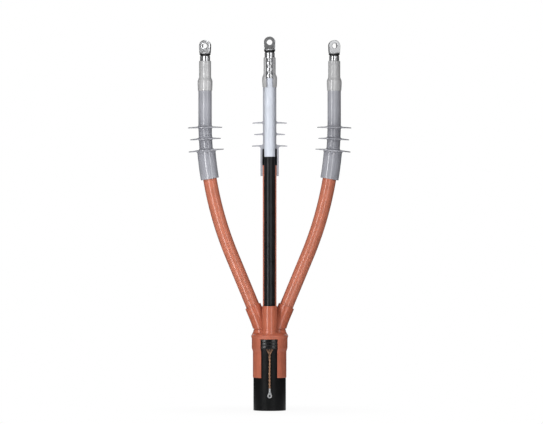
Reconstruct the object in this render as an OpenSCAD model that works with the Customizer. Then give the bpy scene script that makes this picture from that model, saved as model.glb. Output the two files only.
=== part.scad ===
// Three-core medium-voltage cable termination, cut open along its middle core.
// Millimetres, +Z up the cable, +X to the right, the cut-open side faces -Y.
// The origin is the centre of the cable's cut end.

/* [Cable] */
// Outer diameter of the cable sheath
sheath_d = 65; // [62:0.2:72]
// Wall of the cable sheath
sheath_wall = 3; // [2.2:0.1:4]
// Height of the sheath's cut end above the cable's lower end
sheath_end_z = 146; // [140:1:170]
// Diameter of one screen wire
wire_d = 1; // [0.8:0.05:1.2]
// Number of screen wires round the cable
wire_count = 60; // [36:4:72]
// Conductor diameter
conductor_d = 9.8; // [8:0.1:10.6]
// Insulation wall, with its inner screen
insulation_wall = 6; // [4.5:0.1:6.4]
// Wall of the black screen on the insulation
core_screen_wall = 0.45; // [0.3:0.05:0.6]
// Gap between neighbouring cores inside the cable
core_gap = 0.7; // [0.5:0.1:1.2]

/* [Core spread] */
// Distance from the middle core to each outer core at the lugs
phase_pitch = 129.2; // [115:0.1:150]
// Lean of the outer cores on their straight slope
spread_angle = 22.5; // [18:0.1:26]
// Bend radius of the outer cores where they leave the cable
crotch_bend_r = 160; // [130:1:180]
// Bend radius of the outer cores below their lugs
top_bend_r = 700; // [600:1:760]
// Depth below the sheath's end at which the cores start to spread
spread_depth = 22; // [16:0.5:26]
// Straight length of an outer core from its bolt hole to its bend
top_straight_l = 150.5; // [130:0.5:180]
// How much higher the middle lug stands than the outer ones
middle_lift = 6.2; // [0:0.1:20]
// Turn of the outer lugs away from the middle
lug_turn = 17; // [0:1:30]

/* [Cable lug] */
// Bolt hole diameter
bolt_hole_d = 10.5; // [8.5:0.1:13]
// Palm width
palm_w = 23.4; // [21:0.1:28]
// Palm thickness
palm_t = 9; // [6:0.5:11]
// Length of the palm from the bolt hole down to its collar
palm_l = 13.6; // [11:0.1:20]
// Collar diameter
collar_d = 22.2; // [21:0.1:23]
// Height of the collar's rim
collar_rim_h = 3.6; // [1:0.1:5]
// Height of the collar's undercut cone
collar_cone_h = 2.5; // [2:0.1:6]
// Height of the groove below the cone
groove_h = 0.8; // [0.5:0.1:2]
// Depth of that groove
groove_depth = 0.9; // [0.4:0.1:1.6]
// Barrel diameter
barrel_d = 20.2; // [18:0.1:21]
// Barrel length
barrel_l = 51; // [46:0.5:60]
// Distance from the barrel's upper end to the conductor's end in it
conductor_stop = 5; // [3:0.5:10]
// Number of crimps
crimp_count = 3; // [2:1:3]
// Width of one crimp
crimp_w = 6.4; // [4:0.1:8]
// Distance between crimps
crimp_pitch = 12.6; // [9:0.1:14]
// Distance from the barrel's mouth to the first crimp's middle
crimp_inset = 10.6; // [6:0.1:14]
// Depth of the crimp flats at their middles
crimp_depth = 1.6; // [0.8:0.1:2.2]

/* [Lug seal sleeve] */
// Sleeve wall over the lug barrel
seal_wall = 1.95; // [1.2:0.05:2.5]
// Sleeve wall over the shed body
seal_skirt_wall = 1.5; // [1:0.05:2.2]
// Sleeve length over the barrel
seal_barrel_l = 41.4; // [34:0.1:44]
// Sleeve length over the shed body
seal_body_l = 18; // [12:0.5:30]
// Length over which the sleeve swells from barrel to body
seal_swell_l = 10; // [7:0.5:14]
// Length of the sleeve's widest part, below its swell
seal_land_l = 2; // [1:0.5:4]
// Width of the slot cut into the middle sleeve
seal_slot_w = 14.2; // [8:0.1:18]

/* [Shed body] */
// Wall of the body's tube
body_wall = 2.4; // [1.6:0.1:3]
// Length from the body's top to its upper shed
body_neck_l = 90.8; // [75:0.1:110]
// Distance between sheds
shed_pitch = 23; // [18:0.5:28]
// How much higher the sheds sit on the middle body
middle_shed_rise = 2.6; // [0:0.1:6]
// Radius of the upper shed
shed_upper_r = 34.5; // [28:0.1:42]
// Radius of the middle shed
shed_middle_r = 31; // [26:0.1:42]
// Radius of the lower shed
shed_lower_r = 35.4; // [30:0.1:42]
// Shed thickness at its root
shed_root_t = 3; // [2.4:0.1:4]
// Shed thickness at its rim
shed_rim_t = 1.9; // [1.4:0.1:2.4]
// How far a shed's rim droops below its root
shed_droop = 0.9; // [0:0.1:3]
// Radius of the blend between a shed and the tube
shed_fillet_r = 3; // [2:0.1:4]
// Depth by which a blend breaks off at the tube instead of running out
blend_break = 0.3; // [0.2:0.05:0.5]
// Cuff wall over the conductive deflector
cuff_wall = 3.7; // [2.5:0.1:5]
// Length from the lower shed to the cuff's end
cuff_l = 58.2; // [50:0.1:75]
// Width of the slot cut into the middle body's upper end
body_slot_w = 10.4; // [6:0.1:13]

/* [Conductive deflector] */
// Deflector wall over the insulation
deflector_wall = 3.6; // [2.5:0.1:5]
// Deflector length
deflector_l = 33; // [26:0.5:38]
// Depth of the deflector's top below the lower shed
deflector_drop = 3.6; // [2:0.1:6]
// Length of core screen inside the deflector
screen_overlap = 17; // [10:0.5:22]

/* [Anti-track tube] */
// Wall of the red tube
tube_wall = 2.2; // [1.4:0.1:2.4]

/* [Breakout boot] */
// Boot wall on the cable
boot_wall = 1; // [0.8:0.1:2]
// Boot wall round the middle core
finger_wall = 1.5; // [0.9:0.1:2]
// Boot wall round the outer cores
outer_finger_wall = 2.6; // [2.2:0.1:3.4]
// Height of the boot's lower edge
boot_bottom_z = 65.5; // [50:0.5:80]
// Height over which the boot widens from its skirt to the tape
bulge_taper_h = 7; // [6:0.5:12]
// Depth of the shoulder's edge above the sheath's end
shoulder_rise = 3.7; // [3.2:0.1:6]
// Height of the cap above the shoulder's edge
cap_h = 8.3; // [6:0.1:14]
// Height of the upright finger roots above the shoulder's edge
root_h = 13.3; // [10:0.1:18]
// How far the outer finger roots step back under their fingers
root_step = 0.9; // [0.5:0.1:1.4]
// Height of the finger ends above the shoulder's edge
finger_h = 59; // [52:0.5:75]
// How far the lip at the boot's shoulder stands out
shoulder_lip = 1.3; // [0.5:0.1:2]
// Height of that lip
shoulder_lip_h = 6; // [2:0.1:8]
// Length of red tube held in each finger
finger_grip = 36; // [30:0.5:37]
// How far the finger roots spread at the shoulder
root_flare = 4.9; // [2:0.1:6]
// Height over which they spread
root_flare_h = 9; // [4:0.1:11]
// Opening angle of the window cut into the boot, seen from the cable's axis
window_angle = 55; // [35:0.5:75]
// Depth of the window's top below the sheath's end
window_drop = 3.3; // [2:0.1:8]

/* [Binding tape] */
// Number of tape turns
tape_turns = 3; // [2:1:4]
// Height of one turn
tape_turn_h = 6.3; // [4:0.1:7]
// Thickness of the tape at the edge of a turn
tape_base_t = 0.5; // [0.5:0.1:1]
// Extra thickness at the middle of a turn
tape_crown = 0.6; // [0.6:0.1:1.6]
// Gap between the window's top and the tape
tape_gap = 0.5; // [0.2:0.1:2]

/* [Earth lead] */
// Number of screen wires that fan into the earth lead
fan_count = 5; // [3:2:7]
// Height over which the fan gathers
fan_h = 12; // [11:0.1:15]
// Length of fan wire under the tape
fan_tuck = 5; // [2:0.5:10]
// How far inside the earth lead's outline the fan wires end
fan_inset = 0.4; // [0.1:0.1:0.8]
// Earth lead diameter
lead_d = 4; // [3.8:0.1:4.6]
// Gap between the earth lead and the sheath
lead_gap = 0.2; // [0.1:0.1:1]
// Height of the earth lug's upper end above the cable's cut end
earth_lug_z = 45; // [35:0.5:55]
// Diameter of the earth lug's barrel
earth_barrel_d = 3.8; // [3.6:0.1:5.4]
// Gap between the earth lug's barrel and the sheath
earth_lug_gap = 0.7; // [0.1:0.1:1]
// Length of the earth lug's barrel
earth_barrel_l = 7.4; // [6:0.1:12]
// Distance from the barrel's end to the earth bolt hole
earth_neck_l = 7.6; // [7.2:0.1:12]
// Earth bolt hole diameter
earth_hole_d = 4.3; // [3.2:0.1:5.3]
// Diameter of the earth lug's eye
earth_eye_d = 8.7; // [8.5:0.1:12]
// Thickness of the earth lug's eye
earth_eye_t = 1.8; // [1.2:0.1:2.4]

/* [Fits] */
// Clearance between nested layers
fit = 0.05; // [0.03:0.01:0.1]

/* [Hidden] */
$fn = 96;

LEFT = -1;
MIDDLE = 0;
RIGHT = 1;

COPPER = "#b87348";
TINNED = "#b9bbbd";
XLPE = "#dde2ec";
SEMICON = "#232425";
RED_TUBE = "#bf6547";
SILICONE = "#9a9ca6";
SEAL_GREY = "#b4b4b4";
SHEATH_BLACK = "#232325";
TAPE_BLACK = "#1b1c1f";
MASTIC = "#8c4a2f";
FILLER = "#6f6a64";

// Overshoot of cutting shapes past the faces they cut
cut = 1;
// Longer than the part in any direction, for cuts that open a whole side
far = 1000;
// How much slimmer the straight runs of a core are than its bends, and how far they lap into them
seam = 0.08;
lap = 0.6;

// Radii of the layers of a core, from the conductor outwards
conductor_r = conductor_d / 2;
insulation_r = conductor_r + fit + insulation_wall;
core_r = insulation_r + fit + core_screen_wall;
tube_r = core_r + fit + tube_wall;
body_r = insulation_r + fit + body_wall;
deflector_r = insulation_r + fit + deflector_wall;
cuff_r = max(deflector_r, tube_r) + fit + cuff_wall;
barrel_r = barrel_d / 2;
collar_r = collar_d / 2;
seal_r = barrel_r + fit + seal_wall;
seal_skirt_r = body_r + fit + seal_skirt_wall;

// Radii of the cable, from the sheath inwards
sheath_r = sheath_d / 2;
sheath_bore_r = sheath_r - sheath_wall;
wire_r = wire_d / 2;
wire_ring_r = sheath_bore_r - fit - wire_r;
filler_r = wire_ring_r - wire_r - fit;

// Places of the three cores in the cable, each touching the other two but for core_gap
core_x = core_r + core_gap / 2;
side_y = core_x / sqrt(3);
middle_y = -2 * side_y;

// Path of an outer core: upright in the cable, crotch bend, slope, top bend, upright to its lug
spread_start_z = sheath_end_z - spread_depth;
slope_l = (phase_pitch - core_x - (crotch_bend_r + top_bend_r) * (1 - cos(spread_angle))) / sin(spread_angle);
slope_foot_x = core_x + crotch_bend_r * (1 - cos(spread_angle));
slope_foot_z = spread_start_z + crotch_bend_r * sin(spread_angle);
top_bend_z = slope_foot_z + slope_l * cos(spread_angle) + top_bend_r * sin(spread_angle);
top_bend_x = phase_pitch - top_bend_r;
crotch_bend_x = core_x + crotch_bend_r;
side_hole_z = top_bend_z + top_straight_l;
middle_hole_z = side_hole_z + middle_lift;

// Distances along an outer core, down from its bolt hole, at which its path changes
bend_arc = spread_angle * PI / 180;
at_top_bend = top_straight_l;
at_slope = at_top_bend + top_bend_r * bend_arc;
at_crotch = at_slope + slope_l;
at_cable = at_crotch + crotch_bend_r * bend_arc;
at_end_side = at_cable + spread_start_z;
at_end_middle = middle_hole_z;

// Distances along any core, down from its bolt hole, of the pieces stacked on it
at_rim = palm_l;
at_cone = at_rim + collar_rim_h;
at_groove = at_cone + collar_cone_h;
at_barrel = at_groove + groove_h;
at_mouth = at_barrel + barrel_l;
at_conductor = at_barrel + conductor_stop;
at_insulation = at_mouth + 2 * fit;
at_body = at_insulation + 8 * fit;
at_seal = at_mouth - seal_barrel_l;
at_seal_end = at_body + seal_body_l;
at_sheds = [for (i = [0:2]) at_body + body_neck_l + i * shed_pitch];
at_lower_shed = at_sheds[2];
function at_shed(side, i) = at_sheds[i] - (side == MIDDLE ? middle_shed_rise : 0);
at_deflector = at_lower_shed + deflector_drop;
at_deflector_end = at_deflector + deflector_l;
at_screen = at_deflector_end - screen_overlap;
at_tube = at_deflector_end + fit;
at_cuff_end = at_lower_shed + cuff_l;
shed_radii = [shed_upper_r, shed_middle_r, shed_lower_r];

// Heights and radii of the boot and of what it is shrunk on
shoulder_z = sheath_end_z + shoulder_rise;
finger_end_z = shoulder_z + finger_h;
window_top_z = sheath_end_z - window_drop;
fold_r = sheath_r + fit + wire_r;
tape_bore_r = fold_r + wire_r + fit;
tape_r = tape_bore_r + tape_base_t + tape_crown;
tape_h = tape_turns * tape_turn_h;
tape_top_z = window_top_z - tape_gap;
tape_foot_z = tape_top_z - tape_h;
boot_bore_r = sheath_r + fit;
boot_skirt_r = boot_bore_r + boot_wall;
bulge_bore_r = tape_r + fit;
bulge_r = bulge_bore_r + boot_wall;
bulge_foot_z = tape_foot_z + tape_turn_h / 4;
wire_fold_r = (fold_r - wire_ring_r) / 2;
crotch_z = sheath_end_z + wire_fold_r + wire_r + fit;
at_finger_side = at_slope + (slope_foot_z + slope_l * cos(spread_angle) - finger_end_z) / cos(spread_angle);
at_finger_middle = middle_hole_z - finger_end_z;
root_z = shoulder_z + root_h;
root_x = core_x + crotch_bend_r - sqrt(pow(crotch_bend_r, 2) - pow(root_z - spread_start_z, 2));

// Places of the earth lead, in front of the sheath
lead_r = lead_d / 2;
fan_pitch = 360 / wire_count;
fan_top_z = tape_foot_z + fan_tuck;
fan_foot_z = tape_foot_z - fan_h;
fan_gather_r = lead_r - wire_r - fan_inset;
lead_y = -(sheath_r + lead_gap + lead_r);
earth_barrel_r = earth_barrel_d / 2;
earth_lug_y = -(sheath_r + earth_lug_gap + earth_barrel_r);
earth_eye_z = earth_lug_z - earth_barrel_l - earth_neck_l;
earth_eye_r = earth_eye_d / 2;
// Route of the earth lead below its fan: sideways wander, share of the way down, step away from the sheath
lead_route = [
  [0, 0, 0], [0.05, 0.07, 0], [0.1, 0.14, 0], [0.15, 0.21, 0], [0.15, 0.28, 0], [0.1, 0.35, 0],
  [0, 0.42, 0.05], [-0.1, 0.5, 0.1], [-0.15, 0.57, 0.15], [-0.2, 0.64, 0.2], [-0.2, 0.71, 0.25],
  [-0.15, 0.78, 0.3], [-0.1, 0.85, 0.35], [-0.05, 0.92, 0.4], [0, 1, 0.4]
];
lead_sides = 10;

// A ring of round section, or a disc when its bore is 0
module ring_2d(r_out, r_in) {
  difference() {
    circle(r_out);
    if (r_in > 0) circle(r_in);
  }
}

// Stretch of an outer core's upright top between two distances below its bolt hole
module top_run(from, to, r_out, r_in) {
  if (to > from)
    translate([phase_pitch, side_y, side_hole_z - to])
      linear_extrude(to - from) ring_2d(r_out, r_in);
}

// Stretch of its top bend
module top_bend(from, to, r_out, r_in) {
  turn_from = (from - at_top_bend) / top_bend_r * 180 / PI;
  turn_to = (to - at_top_bend) / top_bend_r * 180 / PI;
  if (to > from)
    translate([top_bend_x, side_y, top_bend_z])
      rotate([90, 0, 0]) rotate([0, 0, -turn_to])
        rotate_extrude(angle = turn_to - turn_from)
          translate([top_bend_r, 0]) ring_2d(r_out, r_in);
}

// Stretch of its slope
module slope_run(from, to, r_out, r_in) {
  rise = at_crotch - to;
  if (to > from)
    translate([slope_foot_x + rise * sin(spread_angle), side_y, slope_foot_z + rise * cos(spread_angle)])
      rotate([0, spread_angle, 0])
        linear_extrude(to - from) ring_2d(r_out, r_in);
}

// Stretch of its crotch bend
module crotch_bend(from, to, r_out, r_in) {
  turn_from = (at_cable - from) / crotch_bend_r * 180 / PI;
  turn_to = (at_cable - to) / crotch_bend_r * 180 / PI;
  if (to > from)
    translate([crotch_bend_x, side_y, spread_start_z])
      rotate([90, 0, 0]) rotate([0, 0, 180 - turn_from])
        rotate_extrude(angle = turn_from - turn_to)
          translate([crotch_bend_r, 0]) ring_2d(r_out, r_in);
}

// Stretch of it inside the cable
module cable_run(from, to, r_out, r_in) {
  if (to > from)
    translate([core_x, side_y, at_end_side - to])
      linear_extrude(to - from) ring_2d(r_out, r_in);
}

// Round layer that follows a core between two distances below its bolt hole.
// The straight runs are a hair slimmer than the bends and lap a little way into them.
module along_core(side, from, to, r_out, r_in = 0) {
  run_out = r_out - seam;
  run_in = r_in > 0 ? r_in + seam : 0;
  if (side == MIDDLE)
    translate([0, middle_y, middle_hole_z - to])
      linear_extrude(to - from) ring_2d(r_out, r_in);
  else
    mirror([side == LEFT ? 1 : 0, 0, 0]) {
      if (from < at_top_bend)
        top_run(from, min(to, at_top_bend + lap), run_out, run_in);
      top_bend(max(from, at_top_bend), min(to, at_slope), r_out, r_in);
      if (from < at_crotch && to > at_slope)
        slope_run(max(from, at_slope - lap), min(to, at_crotch + lap), run_out, run_in);
      crotch_bend(max(from, at_crotch), min(to, at_cable), r_out, r_in);
      if (to > at_cable)
        cable_run(max(from, at_cable - lap), to, run_out, run_in);
    }
}

// Places a piece on a core's axis, upright along the core, at a distance below its bolt hole
module on_core(side, at) {
  turn = max(0, at - at_top_bend) / top_bend_r * 180 / PI;
  if (side == MIDDLE)
    translate([0, middle_y, middle_hole_z - at]) children();
  else
    mirror([side == LEFT ? 1 : 0, 0, 0])
      translate([
        top_bend_x + top_bend_r * cos(turn),
        side_y,
        turn > 0 ? top_bend_z - top_bend_r * sin(turn) : side_hole_z - at
      ])
        rotate([0, turn, 0]) children();
}

function core_end(side) = side == MIDDLE ? at_end_middle : at_end_side;
function finger_r(side) = tube_r + fit + (side == MIDDLE ? finger_wall : outer_finger_wall);
function root_r(side) = side == MIDDLE ? finger_r(side) : finger_r(side) - root_step;
function finger_at(side) = side == MIDDLE ? at_finger_middle : at_finger_side;
function tube_foot(side) = finger_at(side) + finger_grip;
function root_at(side) = side == MIDDLE ? middle_hole_z - shoulder_z
  : at_cable - crotch_bend_r * asin((shoulder_z - spread_start_z) / crotch_bend_r) * PI / 180;

// Everything in front of the middle core's axis between two distances below its bolt hole
module front_cut(from, to, width = far) {
  translate([-width / 2, middle_y - far, middle_hole_z - to])
    cube([width, far, to - from]);
}

// Cable

module outer_sheath() {
  color(SHEATH_BLACK)
    linear_extrude(sheath_end_z) ring_2d(sheath_r, sheath_bore_r);
}

module bedding_filler() {
  color(FILLER)
    difference() {
      cylinder(h = sheath_end_z, r = filler_r);
      core_bores(core_r + fit, -cut);
    }
}

// Bores for the three cores, from a height up past the crotch
module core_bores(r, from_z) {
  for (side = [LEFT, MIDDLE, RIGHT])
    along_core(side, finger_at(side), core_end(side) - from_z, r);
}

// One screen wire: up inside the sheath, over its end and back down outside
module screen_wire() {
  translate([wire_ring_r, 0, 0]) cylinder(h = sheath_end_z, r = wire_r);
  translate([wire_ring_r + wire_fold_r, 0, sheath_end_z])
    rotate([90, 0, 0]) rotate_extrude(angle = 180) translate([wire_fold_r, 0]) circle(wire_r);
  translate([fold_r, 0, fan_top_z]) cylinder(h = sheath_end_z - fan_top_z, r = wire_r);
}

module screen_wires() {
  color(COPPER)
    for (i = [0:wire_count - 1])
      rotate([0, 0, -90 + i * fan_pitch]) screen_wire();
}

module crotch_mastic() {
  color(MASTIC)
    difference() {
      translate([0, 0, sheath_end_z + fit])
        cylinder(h = crotch_z - sheath_end_z - 2 * fit, r = filler_r);
      core_bores(core_r + fit, 0);
    }
}

// Layers of one core

module conductor(side) {
  color(TINNED)
    along_core(side, at_conductor, core_end(side), conductor_r);
}

module insulation(side) {
  color(XLPE)
    along_core(side, at_insulation, core_end(side), insulation_r, conductor_r + fit);
}

module core_screen(side) {
  color(SEMICON)
    along_core(side, at_screen, core_end(side), core_r, insulation_r + fit);
}

module anti_track_tube(side) {
  color(RED_TUBE)
    difference() {
      along_core(side, at_tube, tube_foot(side), tube_r, core_r + fit);
      if (side == MIDDLE) front_cut(at_tube - cut, finger_at(side));
    }
}

module stress_deflector(side) {
  color(SEMICON)
    difference() {
      along_core(side, at_deflector, at_deflector_end, deflector_r);
      along_core(side, at_deflector - cut, at_screen, insulation_r + fit);
      along_core(side, at_screen - fit, at_deflector_end + cut, core_r + fit);
      if (side == MIDDLE) front_cut(at_deflector - cut, at_deflector_end + cut);
    }
}

// Shed body

// Half-section of one shed: a drooping plate with a round rim, blended into the tube above and below.
// The blends meet the tube at a slight angle, as a moulded edge does.
module shed_section(rim_r) {
  blend_r = body_r + shed_fillet_r - blend_break;
  polygon([
    [body_r - body_wall / 2, shed_root_t / 2],
    [body_r, shed_root_t / 2],
    [rim_r - shed_rim_t / 2, shed_rim_t / 2 - shed_droop],
    [rim_r - shed_rim_t / 2, -shed_rim_t / 2 - shed_droop],
    [body_r, -shed_root_t / 2],
    [body_r - body_wall / 2, -shed_root_t / 2]
  ]);
  translate([rim_r - shed_rim_t / 2, -shed_droop]) circle(shed_rim_t / 2);
  for (way = [-1, 1])
    difference() {
      translate([body_r - body_wall / 2, way > 0 ? 0 : -shed_root_t / 2 - shed_fillet_r])
        square([blend_r - body_r + body_wall / 2, shed_root_t / 2 + shed_fillet_r]);
      translate([blend_r, way * (shed_root_t / 2 + shed_fillet_r - 2 * blend_break / 3)])
        circle(shed_fillet_r);
    }
}

// Flare from the lower shed's underside down to the cuff
module cuff_flare_section() {
  flare_r = 3 * shed_fillet_r / 2;
  difference() {
    translate([body_r - body_wall / 2, -shed_root_t - flare_r])
      square([cuff_r - body_r + body_wall / 2 + flare_r - blend_break, shed_root_t / 2 + flare_r]);
    translate([cuff_r + flare_r - blend_break, -shed_root_t - flare_r]) circle(flare_r);
  }
}

module shed_body_outside(side) {
  along_core(side, at_body, at_shed(side, 2), body_r);
  along_core(side, at_shed(side, 2) + shed_root_t / 2, at_cuff_end, cuff_r);
  for (i = [0:2])
    on_core(side, at_shed(side, i)) rotate_extrude() shed_section(shed_radii[i]);
  on_core(side, at_shed(side, 2)) rotate_extrude() cuff_flare_section();
}

module shed_body(side) {
  color(SILICONE)
    difference() {
      shed_body_outside(side);
      along_core(side, at_body - cut, at_deflector, insulation_r + fit);
      along_core(side, at_deflector - fit, at_deflector_end + fit, deflector_r + fit);
      along_core(side, at_deflector_end, at_cuff_end + cut, tube_r + fit);
      if (side == MIDDLE) {
        front_cut(at_body - cut, at_seal_end + cut, body_slot_w);
        front_cut(at_seal_end, at_cuff_end + cut);
      }
    }
}

// Lug seal sleeve

// Radius of the sleeve's outside at a distance below its top: straight on the barrel, an S up to the body,
// then a slow draw-in to its lower edge
function swell(x) = (1 - cos(180 * min(1, max(0, x)))) / 2;
seal_l = at_seal_end - at_seal;
seal_swell_from = seal_barrel_l - seal_swell_l;
seal_draw_in = 0.7;
seal_draw_from = seal_barrel_l + seal_land_l;
function seal_outside(x) = seal_r + (seal_skirt_r - seal_r) * swell((x - seal_swell_from) / seal_swell_l)
  - seal_draw_in * (seal_skirt_wall / 2) * swell((x - seal_draw_from) / (seal_l - seal_draw_from));
seal_steps = 24;

module lug_seal(side) {
  color(SEAL_GREY)
    difference() {
      on_core(side, 0)
        rotate_extrude()
          polygon([
            [0, -at_seal],
            for (i = [0:seal_steps])
              let (x = i < 1 ? 0 : seal_swell_from + (seal_l - seal_swell_from) * (i - 1) / (seal_steps - 1))
                [seal_outside(x), -at_seal - x],
            [0, -at_seal_end]
          ]);
      on_core(side, 0) {
        translate([0, 0, -at_body]) cylinder(h = at_body - at_seal + cut, r = barrel_r + fit);
        translate([0, 0, -at_insulation - fit - insulation_step])
          cylinder(h = insulation_step + fit, r = insulation_r + fit);
        translate([0, 0, -at_seal_end - cut])
          cylinder(h = at_seal_end - at_body + cut + fit, r = body_r + fit);
      }
      if (side == MIDDLE) front_cut(at_seal - cut, at_seal_end + cut, seal_slot_w);
    }
}
// Bare insulation between the barrel's mouth and the body's top
insulation_step = at_body - at_insulation;

// Cable lug

// Outline of the palm: a round end about the bolt hole, drawn in slightly towards the collar
module palm_outline() {
  palm_r = palm_w / 2;
  draw_in = atan((palm_r - collar_r) / palm_l);
  circle(palm_r);
  polygon([
    [palm_r * cos(draw_in), -palm_r * sin(draw_in)],
    [collar_r, -palm_l],
    [-collar_r, -palm_l],
    [-palm_r * cos(draw_in), -palm_r * sin(draw_in)]
  ]);
}

// Flats of one hexagonal crimp, taken off the barrel
module crimp_cut() {
  flat_r = barrel_r - crimp_depth;
  difference() {
    cylinder(h = crimp_w, r = barrel_r + cut);
    translate([0, 0, -cut]) rotate([0, 0, 30]) cylinder(h = crimp_w + 2 * cut, r = flat_r / cos(30), $fn = 6);
  }
}

module cable_lug(side) {
  groove_r = barrel_r - groove_depth;
  color(TINNED)
    on_core(side, 0)
      rotate([0, 0, side == MIDDLE ? 0 : lug_turn])
        difference() {
          union() {
            translate([0, palm_t / 2, 0]) rotate([90, 0, 0]) linear_extrude(palm_t) palm_outline();
            translate([0, 0, -at_cone]) cylinder(h = collar_rim_h, r = collar_r);
            translate([0, 0, -at_groove]) cylinder(h = collar_cone_h, r1 = groove_r, r2 = collar_r);
            translate([0, 0, -at_barrel]) cylinder(h = groove_h, r = groove_r);
            translate([0, 0, -at_mouth]) cylinder(h = barrel_l, r = barrel_r);
          }
          translate([0, palm_t / 2 + cut, 0]) rotate([90, 0, 0])
            cylinder(h = palm_t + 2 * cut, d = bolt_hole_d);
          translate([0, 0, -at_mouth - cut])
            cylinder(h = at_mouth - at_conductor + cut + fit, r = conductor_r + fit);
          for (i = [0:crimp_count - 1])
            translate([0, 0, -at_mouth + crimp_inset + i * crimp_pitch - crimp_w / 2]) crimp_cut();
        }
}

// Breakout boot

module boot_outside() {
  rotate_extrude()
    polygon([
      [0, boot_bottom_z],
      [boot_skirt_r, boot_bottom_z],
      [boot_skirt_r, bulge_foot_z - bulge_taper_h],
      [bulge_r, bulge_foot_z],
      [bulge_r, shoulder_z - shoulder_lip_h],
      [bulge_r + shoulder_lip, shoulder_z - shoulder_lip_h / 4],
      [bulge_r + shoulder_lip, shoulder_z],
      [bulge_r - cap_h, shoulder_z + 0.65 * cap_h],
      [0, shoulder_z + cap_h]
    ]);
  boot_finger(MIDDLE);
  for (side = [LEFT, RIGHT]) {
    difference() {
      boot_finger(side);
      translate([-far, -far, root_z - far]) cube([2 * far, 2 * far, far]);
    }
    on_root(side) cylinder(h = root_h + lap, r = root_r(side));
  }
  intersection() {
    for (side = [LEFT, MIDDLE, RIGHT])
      on_root(side) translate([0, 0, -lap])
        cylinder(h = root_flare_h + lap, r1 = root_r(side) + root_flare, r2 = root_r(side) + root_step / 3);
    cylinder(h = shoulder_z + far, r = bulge_r + shoulder_lip - 2 * seam);
  }
}

module boot_finger(side) {
  along_core(side, finger_at(side), root_at(side), finger_r(side));
}

// Places a piece upright on the boot's shoulder, where a finger rises from it
module on_root(side) {
  translate([side * root_x, side == MIDDLE ? middle_y : side_y, shoulder_z]) children();
}

module boot_inside() {
  rotate_extrude()
    polygon([
      [0, boot_bottom_z - cut],
      [boot_bore_r, boot_bottom_z - cut],
      [boot_bore_r, bulge_foot_z - bulge_taper_h],
      [bulge_bore_r, bulge_foot_z],
      [bulge_bore_r, crotch_z],
      [0, crotch_z]
    ]);
  for (side = [LEFT, MIDDLE, RIGHT])
    along_core(side, finger_at(side) - cut, tube_foot(side) + fit, tube_r + fit);
  core_bores(core_r + fit, sheath_end_z);
}

module breakout_boot() {
  color(RED_TUBE)
    difference() {
      boot_outside();
      boot_inside();
      translate([0, 0, boot_bottom_z - cut])
        linear_extrude(window_top_z - boot_bottom_z + cut)
          polygon([[0, 0], for (way = [-1, 1]) far * [way * sin(window_angle / 2), -cos(window_angle / 2)]]);
    }
}

module binding_tape() {
  crown_r = (pow(tape_turn_h / 2, 2) + pow(tape_crown, 2)) / (2 * tape_crown);
  color(TAPE_BLACK)
    rotate_extrude() {
      translate([tape_bore_r, tape_foot_z]) square([tape_base_t, tape_h]);
      for (i = [0:tape_turns - 1])
        intersection() {
          translate([tape_bore_r + tape_base_t / 2, tape_foot_z + i * tape_turn_h])
            square([tape_crown + tape_base_t, tape_turn_h]);
          translate([tape_r - crown_r, tape_foot_z + (i + 0.5) * tape_turn_h]) circle(crown_r);
        }
    }
}

// Earth lead

// Straight round wire between two points
module wire_between(a, b, r) {
  d = b - a;
  translate(a)
    rotate([0, atan2(norm([d[0], d[1]]), d[2]), atan2(d[1], d[0])])
      cylinder(h = norm(d), r = r);
}

module earth_fan() {
  half = (fan_count - 1) / 2;
  color(COPPER)
    for (i = [-half:half]) {
      x = fold_r * sin(i * fan_pitch);
      y = -fold_r * cos(i * fan_pitch);
      end_turn = 90 - i * 360 / fan_count;
      translate([x, y, tape_foot_z - wire_r])
        cylinder(h = fan_top_z - fit - tape_foot_z + wire_r, r = wire_r);
      wire_between(
        [x, y, tape_foot_z],
        [fan_gather_r * cos(end_turn), lead_y + fan_gather_r * sin(end_turn), fan_foot_z + wire_r],
        wire_r - seam
      );
    }
}

// Earth lead as one tube: rings of points along its route, joined side by side
lead_points = [
  for (p = lead_route)
    [p[0], lead_y - p[2], fan_foot_z - fit + (earth_lug_z + fit - fan_foot_z) * p[1]]
];

module earth_lead() {
  n = len(lead_points);
  rings = [
    for (p = lead_points, k = [0:lead_sides - 1])
      p + lead_r * [cos(360 * k / lead_sides), sin(360 * k / lead_sides), 0]
  ];
  walls = [
    for (i = [0:n - 2], k = [0:lead_sides - 1])
      let (next = (k + 1) % lead_sides)
        [i * lead_sides + k, i * lead_sides + next, (i + 1) * lead_sides + next, (i + 1) * lead_sides + k]
  ];
  top = [for (k = [lead_sides - 1:-1:0]) k];
  foot = [for (k = [0:lead_sides - 1]) (n - 1) * lead_sides + k];
  color(COPPER) polyhedron(rings, concat([top], walls, [foot]));
}

// Earth lug, its crimped barrel closed on the lead
module earth_lug() {
  color(TINNED)
    difference() {
      union() {
        translate([0, earth_lug_y, earth_lug_z - earth_barrel_l])
          cylinder(h = earth_barrel_l, r = earth_barrel_r);
        translate([0, earth_lug_y + earth_eye_t / 2, earth_eye_z])
          rotate([90, 0, 0])
            linear_extrude(earth_eye_t) {
              circle(earth_eye_r);
              polygon([
                [earth_eye_r * cos(30), earth_eye_r * sin(30)],
                [earth_barrel_r, earth_neck_l + lap],
                [-earth_barrel_r, earth_neck_l + lap],
                [-earth_eye_r * cos(30), earth_eye_r * sin(30)]
              ]);
            }
      }
      translate([0, earth_lug_y + earth_eye_t / 2 + cut, earth_eye_z])
        rotate([90, 0, 0]) cylinder(h = earth_eye_t + 2 * cut, d = earth_hole_d);
    }
}

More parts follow.
